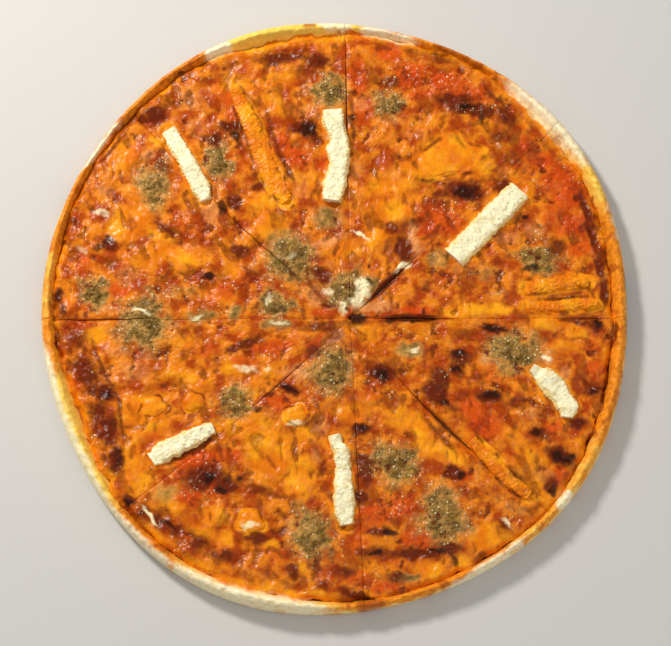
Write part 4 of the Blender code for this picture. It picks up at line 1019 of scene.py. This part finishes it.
class Recipe:
    """A shader node group in the making, with short forms of its nodes. A text stands for a given colour."""

    def __init__(self, name, masks, colours):
        self.tree = bpy.data.node_groups.new(name, "ShaderNodeTree")
        sockets = [(key, "INPUT", "Float") for key in masks] + [(key, "INPUT", "Color") for key in colours]
        sockets.append(("Color", "OUTPUT", "Color"))
        sockets += [(key, "OUTPUT", "Float") for key in ("Roughness", "Height")]
        for key, way, kind in sockets:
            self.tree.interface.new_socket(key, in_out=way, socket_type=f"NodeSocket{kind}")
        self.given = self.tree.nodes.new("NodeGroupInput").outputs
        self.shown = self.tree.nodes.new("NodeGroupOutput").inputs
        self.place = add_node(self.tree, "ShaderNodeTexCoord").outputs["Object"]

    def operate(self, operation, a, b):
        """One Math node."""
        return add_node(self.tree, "ShaderNodeMath", ((0, a), (1, b)), operation=operation).outputs[0]

    def plus(self, a, b):
        """Sum of two values."""
        return self.operate("ADD", a, b)

    def minus(self, a, b):
        """Difference of two values."""
        return self.operate("SUBTRACT", a, b)

    def times(self, a, b):
        """Product of two values."""
        return self.operate("MULTIPLY", a, b)

    def stepped(self, value, low, high, out_low=0.0, out_high=1.0):
        """Smooth step of a value between low and high."""
        limits = (("From Min", low), ("From Max", high), ("To Min", out_low), ("To Max", out_high))
        inputs = (("Value", value), *limits)
        return add_node(self.tree, "ShaderNodeMapRange", inputs, interpolation_type="SMOOTHSTEP").outputs[0]

    def grain(self, size, detail=3.0, seed=0.0):
        """Noise of a size in metres, from 0 to 1."""
        shift = ((0, self.place), (1, (seed, seed * 0.7, 0.0)))
        shifted = add_node(self.tree, "ShaderNodeVectorMath", shift, operation="ADD").outputs[0]
        inputs = (("Vector", shifted), ("Scale", 1.0 / size), ("Detail", detail))
        return add_node(self.tree, "ShaderNodeTexNoise", inputs).outputs["Fac"]

    def dots(self, size, low, high, spread):
        """Round dots at scattered places, and each one's random number."""
        cell = add_node(self.tree, "ShaderNodeTexVoronoi", (("Vector", self.place), ("Scale", 1.0 / size)))
        picked = add_node(self.tree, "ShaderNodeSeparateColor", ((0, cell.outputs["Color"]),)).outputs
        away = self.plus(cell.outputs["Distance"], self.times(picked[1], spread))
        return self.stepped(away, low, high), picked[0]

    def mix(self, factor, a, b):
        """Colour a mixed with colour b by a factor."""
        a, b = (self.given[key] if isinstance(key, str) else key for key in (a, b))
        inputs = ((0, factor), (6, a), (7, b))
        return add_node(self.tree, "ShaderNodeMix", inputs, data_type="RGBA", blend_type="MIX").outputs[2]

    def patch(self, colour, mask, noise_value, uneven, strength, other):
        """Another colour over a colour where a mask is high, with a border that follows a noise."""
        bent = self.plus(self.given[mask], self.times(self.minus(noise_value, 0.5), uneven))
        return self.mix(self.times(self.stepped(bent, 0.1, 0.9), strength), colour, other)

    def shaded(self, colour, fine, darkest, lightest):
        """A colour whose lightness varies with a fine noise."""
        inputs = (("Color", colour), ("Value", self.stepped(fine, 0.25, 0.75, darkest, lightest)))
        return add_node(self.tree, "ShaderNodeHueSaturation", inputs).outputs[0]

    def finish(self, colour, rough, height):
        """Links the outputs and gives the group back."""
        for key, socket in (("Color", colour), ("Roughness", rough), ("Height", height)):
            self.tree.links.new(socket, self.shown[key])
        return self.tree


def melted_group():
    """Colours of melted cheese: amber with gold, red, pale, moss, toast, froth, cream and dark patches, with
    painted glints and painted shade in the froth's dots.
    """
    art = Recipe("Melted cheese colours", MASKS, MELTED_COLOURS)
    broad = art.grain(0.007, 4.0)
    middle = art.grain(0.0022, 4.0, 0.31)
    fine = art.grain(0.0007, 3.0, 0.77)
    patch = art.grain(0.0045, 3.0, 0.9)
    blotch = art.plus(art.times(broad, 0.6), art.times(middle, 0.4))
    gold = art.mix(art.stepped(art.grain(0.011, 3.0, 0.5), 0.35, 0.7), "Deep gold", "Gold")
    depth = art.plus(patch, art.times(art.given["moss"], 0.35))
    moss = art.mix(art.stepped(depth, 0.6, 0.95), "Moss", "Deep moss")
    colour = art.mix(art.stepped(broad, 0.35, 0.65), "Deep amber", "Amber")
    colour = art.patch(colour, "gold", middle, 0.35, 1.0, gold)
    colour = art.patch(colour, "red", broad, 0.9, 0.8, "Red")
    colour = art.patch(colour, "pale", blotch, 0.8, 0.85, "Pale")
    colour = art.patch(colour, "moss", patch, 0.9, 0.88, moss)
    # Toast patches: browned cheese and painted shade.
    colour = art.patch(colour, "toast", blotch, 1.1, 0.96, "Toast")
    # Froth dots: painted glints in cream (light) and painted shade in burst pits (dark); both also shape the
    # bump.
    dot, chance = art.dots(0.0014, 0.52, 0.24, 0.3)
    froth = art.stepped(art.given["froth"], 0.15, 0.8)
    light = art.times(dot, art.stepped(chance, 0.62, 0.7))
    shaded_pit = art.times(dot, art.stepped(chance, 0.3, 0.22))
    colour = art.mix(art.times(art.times(shaded_pit, froth), 0.7), colour, "Dark")
    colour = art.mix(art.times(art.times(light, froth), 0.7), colour, "Cream")
    # The cream mask also holds painted highlights, and the dark mask painted shade in cuts and creases.
    colour = art.patch(colour, "cream", middle, 0.7, 1.0, "Cream")
    colour = art.patch(colour, "dark", middle, 0.8, 0.85, "Dark")
    rough = art.stepped(art.plus(art.given["moss"], art.times(middle, 0.5)), 0.0, 1.4, 0.3, 0.62)
    height = art.plus(art.times(art.minus(light, shaded_pit), froth), art.times(fine, 0.5))
    height = art.plus(height, art.times(middle, 0.8))
    return art.finish(art.shaded(colour, fine, 0.88, 1.1), rough, height)


def crust_group():
    """Colours of the crust: orange with yellow, cream and toasted places (the toast also painted shade at the
    rim's foot and outer edge), grey painted shade, and a browned underside.
    """
    art = Recipe("Crust colours", CRUST_MASKS, CRUST_COLOURS)
    broad = art.grain(0.006, 4.0)
    middle = art.grain(0.002, 4.0, 0.2)
    fine = art.grain(0.0006, 3.0, 0.4)
    colour = art.mix(art.stepped(middle, 0.35, 0.7, 0.0, 0.45), "Crust", "Crust toast")
    colour = art.patch(colour, "gold", broad, 1.0, art.stepped(middle, 0.3, 0.65, 1.0, 0.7), "Crust yellow")
    colour = art.patch(colour, "cream", broad, 1.0, art.stepped(middle, 0.35, 0.7, 1.0, 0.6), "Crust cream")
    # Crust toast over the toast mask: toasted marks, and painted shade at the rim's foot and along its outer
    # edge.
    colour = art.patch(colour, "toast", middle, 0.8, 0.75, "Crust toast")
    # Painted shade: the grey over the moss mask, on the rim's right outer side.
    colour = art.patch(colour, "moss", middle, 0.8, 0.8, "Crust grey")
    under = art.mix(art.stepped(broad, 0.55, 0.75), "Underside", "Crust toast")
    under = art.patch(under, "dark", middle, 0.8, 1.0, "Dark")
    colour = art.mix(art.given["under"], colour, under)
    colour = art.mix(art.given["crumb"], colour, "Crumb")
    rough = art.stepped(middle, 0.3, 0.7, 0.5, 0.68)
    height = art.plus(middle, art.times(fine, 0.5))
    return art.finish(art.shaded(colour, fine, 0.9, 1.06), rough, height)


def brie_group():
    """Colours of brie: pale paste with soft shaded pores and a yellow melted border."""
    art = Recipe("Brie colours", BRIE_MASKS, BRIE_COLOURS)
    broad = art.grain(0.004, 4.0)
    fine = art.grain(0.0008, 4.0, 0.6)
    colour = art.mix(art.stepped(broad, 0.48, 0.75, 0.0, 0.7), "Brie", "Brie shade")
    dot, chance = art.dots(0.0024, 0.3, 0.12, 0.0)
    dot = art.times(dot, art.stepped(chance, 0.55, 0.7))
    colour = art.mix(art.times(dot, 0.8), colour, "Brie shade")
    colour = art.patch(colour, "edge", broad, 1.2, 0.8, "Rind")
    colour = art.mix(art.times(art.given["side"], 0.75), colour, "Rind")
    rough = art.stepped(fine, 0.3, 0.7, 0.4, 0.6)
    return art.finish(colour, rough, art.minus(art.plus(broad, fine), dot))


def food_material(name, group, masks, colours, coat, bump, subsurface=0.0):
    """Principled food: a colour group fed by the piece's own masks and by named colours."""
    material = bpy.data.materials.new(name)
    material.use_nodes = True
    tree = material.node_tree
    shader = tree.nodes["Principled BSDF"]
    node = add_node(tree, "ShaderNodeGroup", node_tree=group)
    for key in masks:
        layer = add_node(tree, "ShaderNodeAttribute", attribute_name=key)
        tree.links.new(layer.outputs["Fac"], node.inputs[key])
    for key, colour in colours.items():
        node.inputs[key].default_value = (*colour, 1.0)
    tree.links.new(node.outputs["Color"], shader.inputs["Base Color"])
    tree.links.new(node.outputs["Roughness"], shader.inputs["Roughness"])
    inputs = (("Height", node.outputs["Height"]), ("Strength", bump), ("Distance", BUMP_DISTANCE))
    tree.links.new(add_node(tree, "ShaderNodeBump", inputs).outputs[0], shader.inputs["Normal"])
    shader.inputs["Coat Weight"].default_value = coat
    shader.inputs["Coat Roughness"].default_value = COAT_ROUGHNESS
    shader.inputs["Specular IOR Level"].default_value = SPECULAR_LEVEL
    shader.inputs["Subsurface Weight"].default_value = subsurface
    shader.inputs["Subsurface Radius"].default_value = SUBSURFACE_RADIUS
    shader.inputs["Subsurface Scale"].default_value = SUBSURFACE_SCALE
    return material


def look_colours(look, names):
    """The look's colours under the names of a group's inputs."""
    return {name: getattr(look, name.lower().replace(" ", "_")) for name in names}


def melted_material(name, look, base=None):
    """The melted cheese material in a look's colours, with one colour in place of amber and gold if given."""
    group = bpy.data.node_groups.get("Melted cheese colours") or melted_group()
    colours = look_colours(look, MELTED_COLOURS)
    if base is not None:
        colours.update({key: base for key in MELTED_COLOURS[:4]})
    return food_material(name, group, MASKS, colours, look.oil, 0.55)


# Settings that a user may change.
def lit(red, green, blue):
    """Linear light of a display colour from 0 to 255."""
    shares = (value / 255.0 for value in (red, green, blue))
    return tuple(share / 12.92 if share <= 0.04045 else ((share + 0.055) / 1.055) ** 2.4 for share in shares)


def tint(name, description, colour):
    """Colour property; the default is given as linear light."""
    return bpy.props.FloatVectorProperty(
        name=name, description=description, default=colour, subtype="COLOR", size=3, min=0.0, max=1.0,
    )


def power(name, description, default):
    """Strength that isn't negative."""
    return bpy.props.FloatProperty(name=name, description=description, default=default, min=0.0)


def fineness(name, description, default):
    """Number of points."""
    return bpy.props.IntProperty(name=name, description=description, default=default, min=24, max=300)


class PizzaLook(bpy.types.PropertyGroup):
    """Colours and fineness of the pizza."""

    amber: tint("Amber", "Light parts of the melted cheese", lit(236, 134, 20))
    deep_amber: tint("Deep amber", "Deep parts of the melted cheese", lit(174, 64, 0))
    gold: tint("Gold", "Smooth cheddar", lit(255, 168, 20))
    deep_gold: tint("Deep gold", "Shaded cheddar", lit(230, 118, 4))
    red: tint("Red", "Oily red-orange places", lit(210, 72, 6))
    # Toast also paints shade: creases, hollows, fold valleys, beside the cuts, at the rim's foot and round
    # the cheddar.
    toast: tint("Toast", "Browned cheese", lit(100, 28, 0))
    # Dark also paints shade in the cut gaps, the creases, below blue_12 and in the froth's pits.
    dark: tint("Dark", "Burnt spots and pits", lit(32, 10, 0))
    moss: tint("Moss", "Light blue cheese", lit(190, 150, 78))
    deep_moss: tint("Deep moss", "Dark blue cheese", lit(106, 92, 40))
    # Pale also paints highlights on the fold crests and the cheddar tops.
    pale: tint("Pale", "Beige films of cheese", lit(230, 150, 84))
    cream: tint("Cream", "Creamy lights", lit(255, 238, 190))
    crust: tint("Crust", "Orange crust", lit(250, 152, 30))
    crust_yellow: tint("Yellow crust", "Yellow crust", lit(255, 218, 96))
    crust_cream: tint("Cream crust", "Unbaked crust", lit(255, 244, 206))
    crust_toast: tint("Toasted crust", "Browned crust", lit(172, 76, 14))
    # Painted shade colour for the rim's right outer side.
    crust_grey: tint("Grey crust", "Shadowed side of the crust", lit(150, 124, 76))
    underside: tint("Underside", "Baked base", lit(222, 176, 116))
    crumb: tint("Crumb", "Inside of the crust", lit(248, 226, 176))
    brie: tint("Brie", "Brie paste", lit(251, 242, 202))
    brie_shade: tint("Brie shade", "Pores and soft shade of the brie", lit(218, 194, 130))
    rind: tint("Rind", "Melted border of the brie", lit(248, 216, 136))
    sauce: tint("Sauce", "Tomato sauce", lit(176, 62, 20))
    oil: power("Oil", "Strength of the oily gloss", 0.08)
    cheese_columns: fineness("Cheese columns", "Points across a slice", 176)
    cheese_rows: fineness("Cheese rows", "Points along a slice", 214)
    crust_columns: fineness("Crust columns", "Points along the rim of a slice", 150)
    crust_rows: fineness("Crust rows", "Points across the crust", 84)
    sauce_columns: fineness("Sauce columns", "Points across the sauce of a slice", 60)
    sauce_rows: fineness("Sauce rows", "Points along the sauce of a slice", 50)


class StageLook(bpy.types.PropertyGroup):
    """Camera, light and floor."""

    distance: bpy.props.FloatProperty(
        name="Distance", description="Camera to its target", default=0.8, unit="LENGTH", subtype="DISTANCE",
    )
    elevation: bpy.props.FloatProperty(
        name="Elevation", description="Camera above the floor", default=math.radians(74), unit="ROTATION",
        subtype="ANGLE",
    )
    lens: bpy.props.FloatProperty(name="Lens", description="Focal length in millimetres", default=87.64)
    key: power("Key light", "Power of the soft key light", 10.0)
    fill: power("Fill light", "Power of the soft fill light", 2.2)
    sky: power("Surroundings", "Light from all round", 0.4)
    floor: tint("Floor", "Colour of the floor", (0.62, 0.61, 0.59))


# Pieces.
class PIZZA_OT_crust(bpy.types.Operator):
    """Builds the crust of every slice"""

    bl_idname = "pizza.crust"
    bl_label = "Crust"

    def execute(self, context):
        look = context.scene.pizza
        colours = look_colours(look, CRUST_COLOURS)
        material = food_material("crust", crust_group(), CRUST_MASKS, colours, 0.12, 0.5, 0.05)
        for number in SLICES:
            points, masks = dough_surface(number, look.crust_columns, look.crust_rows)
            add_piece(f"crust_{number}", points, masks, material, f"dough_{number}")
        return {"FINISHED"}


class PIZZA_OT_sauce(bpy.types.Operator):
    """Builds the thin sauce of every slice"""

    bl_idname = "pizza.sauce"
    bl_label = "Sauce"

    def execute(self, context):
        look = context.scene.pizza
        material = melted_material("sauce", look, look.sauce)
        for number in SLICES:
            points, masks = sauce_surface(number, look.sauce_columns, look.sauce_rows)
            add_piece(f"thin_sauce_{number}", points, masks, material, f"sauce_{number}")
        return {"FINISHED"}


class PIZZA_OT_cheese(bpy.types.Operator):
    """Builds the melted cheese of every slice"""

    bl_idname = "pizza.cheese"
    bl_label = "Melted cheese"

    def execute(self, context):
        look = context.scene.pizza
        material = melted_material("melted_cheese", look)
        for number in SLICES:
            points, masks = cheese_surface(number, look.cheese_columns, look.cheese_rows)
            add_piece(f"melted_cheese_{number}", points, masks, material, f"cheese_{number}")
        return {"FINISHED"}


class PIZZA_OT_brie(bpy.types.Operator):
    """Builds the strips of brie"""

    bl_idname = "pizza.brie"
    bl_label = "Brie strips"

    def execute(self, context):
        colours = look_colours(context.scene.pizza, BRIE_COLOURS)
        material = food_material("brie", brie_group(), BRIE_MASKS, colours, 0.15, 0.6, 0.1)
        for name, height, places in BRIE_STRIPS:
            for node, number in DIVIDED.get(name, ((name, 0),)):
                points, masks = strip_surface(places, height, number, 6.0, 0.36)
                add_piece(f"strip_{node}", points, masks, material, node)
        return {"FINISHED"}


class PIZZA_OT_blue(bpy.types.Operator):
    """Builds the lumps of blue cheese"""

    bl_idname = "pizza.blue"
    bl_label = "Blue cheese"

    def execute(self, context):
        material = melted_material("blue_cheese", context.scene.pizza)
        for name, *clump in BLUE_CLUMPS:
            for node, number in DIVIDED.get(name, ((name, 0),)):
                points, masks = lump_surface(clump, number, True)
                add_piece(f"crumbled_{node}", points, masks, material, node)
        return {"FINISHED"}


def cheddar_masks(masks, light, least, border):
    """Masks of cheddar: all gold, pale with a painted highlight on its top, and its browning and painted
    shade kept near its border, lessened in the middle.
    """
    masks["gold"] = np.ones_like(masks["gold"])
    strengthen(masks, "pale", light)
    for key in ("toast", "red", "dark"):
        masks[key] = masks[key] * (least + (1.0 - least) * border)
    return masks


class PIZZA_OT_cheddar(bpy.types.Operator):
    """Builds the sliced and lumped cheddar"""

    bl_idname = "pizza.cheddar"
    bl_label = "Cheddar"

    def execute(self, context):
        material = melted_material("cheddar", context.scene.pizza)
        for name, height, places in CHEDDAR_STRIPS:
            points, sides = strip_surface(places, height, 0, 2.2, 0.42)
            edge = sides["edge"]
            masks = melted_masks(points[..., 0], points[..., 1])[0]
            # Painted highlight along the middle of the strip; painted shade kept at its edges.
            masks = cheddar_masks(masks, 0.12 * (1.0 - edge), 0.4, edge)
            add_piece(f"sliced_{name}", points, masks, material, name)
        for name, *chunk in CHEDDAR_CHUNKS:
            points, masks = lump_surface(chunk, 0, False)
            share = clump_share(points[..., 0], points[..., 1], chunk)
            # Painted highlight on the middle of the lump; painted shade kept at its border.
            masks = cheddar_masks(masks, 0.15 * smooth(0.8, 0.2, share), 0.25, smooth(0.5, 1.0, share))
            add_piece(f"lump_{name}", points, masks, material, name)
        return {"FINISHED"}


# The stage: lights as (name, place, size, colour), the camera's target and the floor.
LIGHTS = (
    ("key", (-0.55, 0.6, 0.7), 0.16, (1.0, 0.97, 0.92)),
    ("fill", (0.6, -0.35, 0.8), 0.9, (1.0, 0.98, 0.96)),
)
SKY_COLOUR = (1.0, 0.98, 0.95, 1.0)
TARGET = (0.000571, -0.007823, 0.0)
FLOOR_REACH = 3.0
FLOOR_ROUGHNESS = 0.9


class PIZZA_OT_stage(bpy.types.Operator):
    """Sets up the floor, the soft lights and the camera"""

    bl_idname = "pizza.stage"
    bl_label = "Stage"

    def execute(self, context):
        scene = context.scene
        look = scene.pizza_stage
        mesh = bpy.data.meshes.new("floor")
        corners = [(x * FLOOR_REACH, y * FLOOR_REACH, 0) for x, y in ((-1, -1), (1, -1), (1, 1), (-1, 1))]
        mesh.from_pydata(corners, [], [(0, 1, 2, 3)])
        floor = bpy.data.objects.new("floor", mesh)
        scene.collection.objects.link(floor)
        material = bpy.data.materials.new("floor")
        material.use_nodes = True
        shader = material.node_tree.nodes["Principled BSDF"]
        shader.inputs["Base Color"].default_value = (*look.floor, 1.0)
        shader.inputs["Roughness"].default_value = FLOOR_ROUGHNESS
        mesh.materials.append(material)
        world = bpy.data.worlds.new("soft surroundings")
        world.use_nodes = True
        world.node_tree.nodes["Background"].inputs["Color"].default_value = SKY_COLOUR
        world.node_tree.nodes["Background"].inputs["Strength"].default_value = look.sky
        scene.world = world
        for name, spot, size, colour in LIGHTS:
            data = bpy.data.lights.new(name, "AREA")
            data.size = size
            data.energy = getattr(look, name)
            data.color = colour
            lamp = bpy.data.objects.new(name, data)
            lamp.location = spot
            lamp.rotation_euler = (-Vector(spot)).to_track_quat("-Z", "Y").to_euler()
            scene.collection.objects.link(lamp)
        data = bpy.data.cameras.new("camera")
        data.lens = look.lens
        data.sensor_width = 36.0
        camera = bpy.data.objects.new("camera", data)
        back = Vector((0.0, -math.cos(look.elevation), math.sin(look.elevation)))
        camera.location = Vector(TARGET) + back * look.distance
        camera.rotation_euler = (-back).to_track_quat("-Z", "Y").to_euler()
        scene.collection.objects.link(camera)
        scene.camera = camera
        scene.view_settings.view_transform = "Standard"
        return {"FINISHED"}


OPERATORS = (
    PIZZA_OT_crust, PIZZA_OT_sauce, PIZZA_OT_cheese, PIZZA_OT_brie, PIZZA_OT_blue, PIZZA_OT_cheddar,
    PIZZA_OT_stage,
)


class PIZZA_PT_panel(bpy.types.Panel):
    """Lists the pieces of the pizza"""

    bl_label = "Four cheese pizza"
    bl_idname = "PIZZA_PT_panel"
    bl_space_type = "VIEW_3D"
    bl_region_type = "UI"
    bl_category = "Pizza"

    def draw(self, context):
        for operator in OPERATORS:
            self.layout.operator(operator.bl_idname)


CLASSES = (PizzaLook, StageLook, *OPERATORS, PIZZA_PT_panel)


def register():
    """Adds the settings, operators and panel."""
    for each in CLASSES:
        bpy.utils.register_class(each)
    bpy.types.Scene.pizza = bpy.props.PointerProperty(type=PizzaLook)
    bpy.types.Scene.pizza_stage = bpy.props.PointerProperty(type=StageLook)


def unregister():
    """Takes them away again."""
    del bpy.types.Scene.pizza_stage
    del bpy.types.Scene.pizza
    for each in reversed(CLASSES):
        bpy.utils.unregister_class(each)


def main():
    """Builds everything."""
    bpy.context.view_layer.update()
    register()
    bpy.ops.pizza.crust()
    bpy.ops.pizza.sauce()
    bpy.ops.pizza.cheese()
    bpy.ops.pizza.brie()
    bpy.ops.pizza.blue()
    bpy.ops.pizza.cheddar()
    bpy.ops.pizza.stage()
    bpy.context.view_layer.update()


if __name__ == "__main__":
    main()
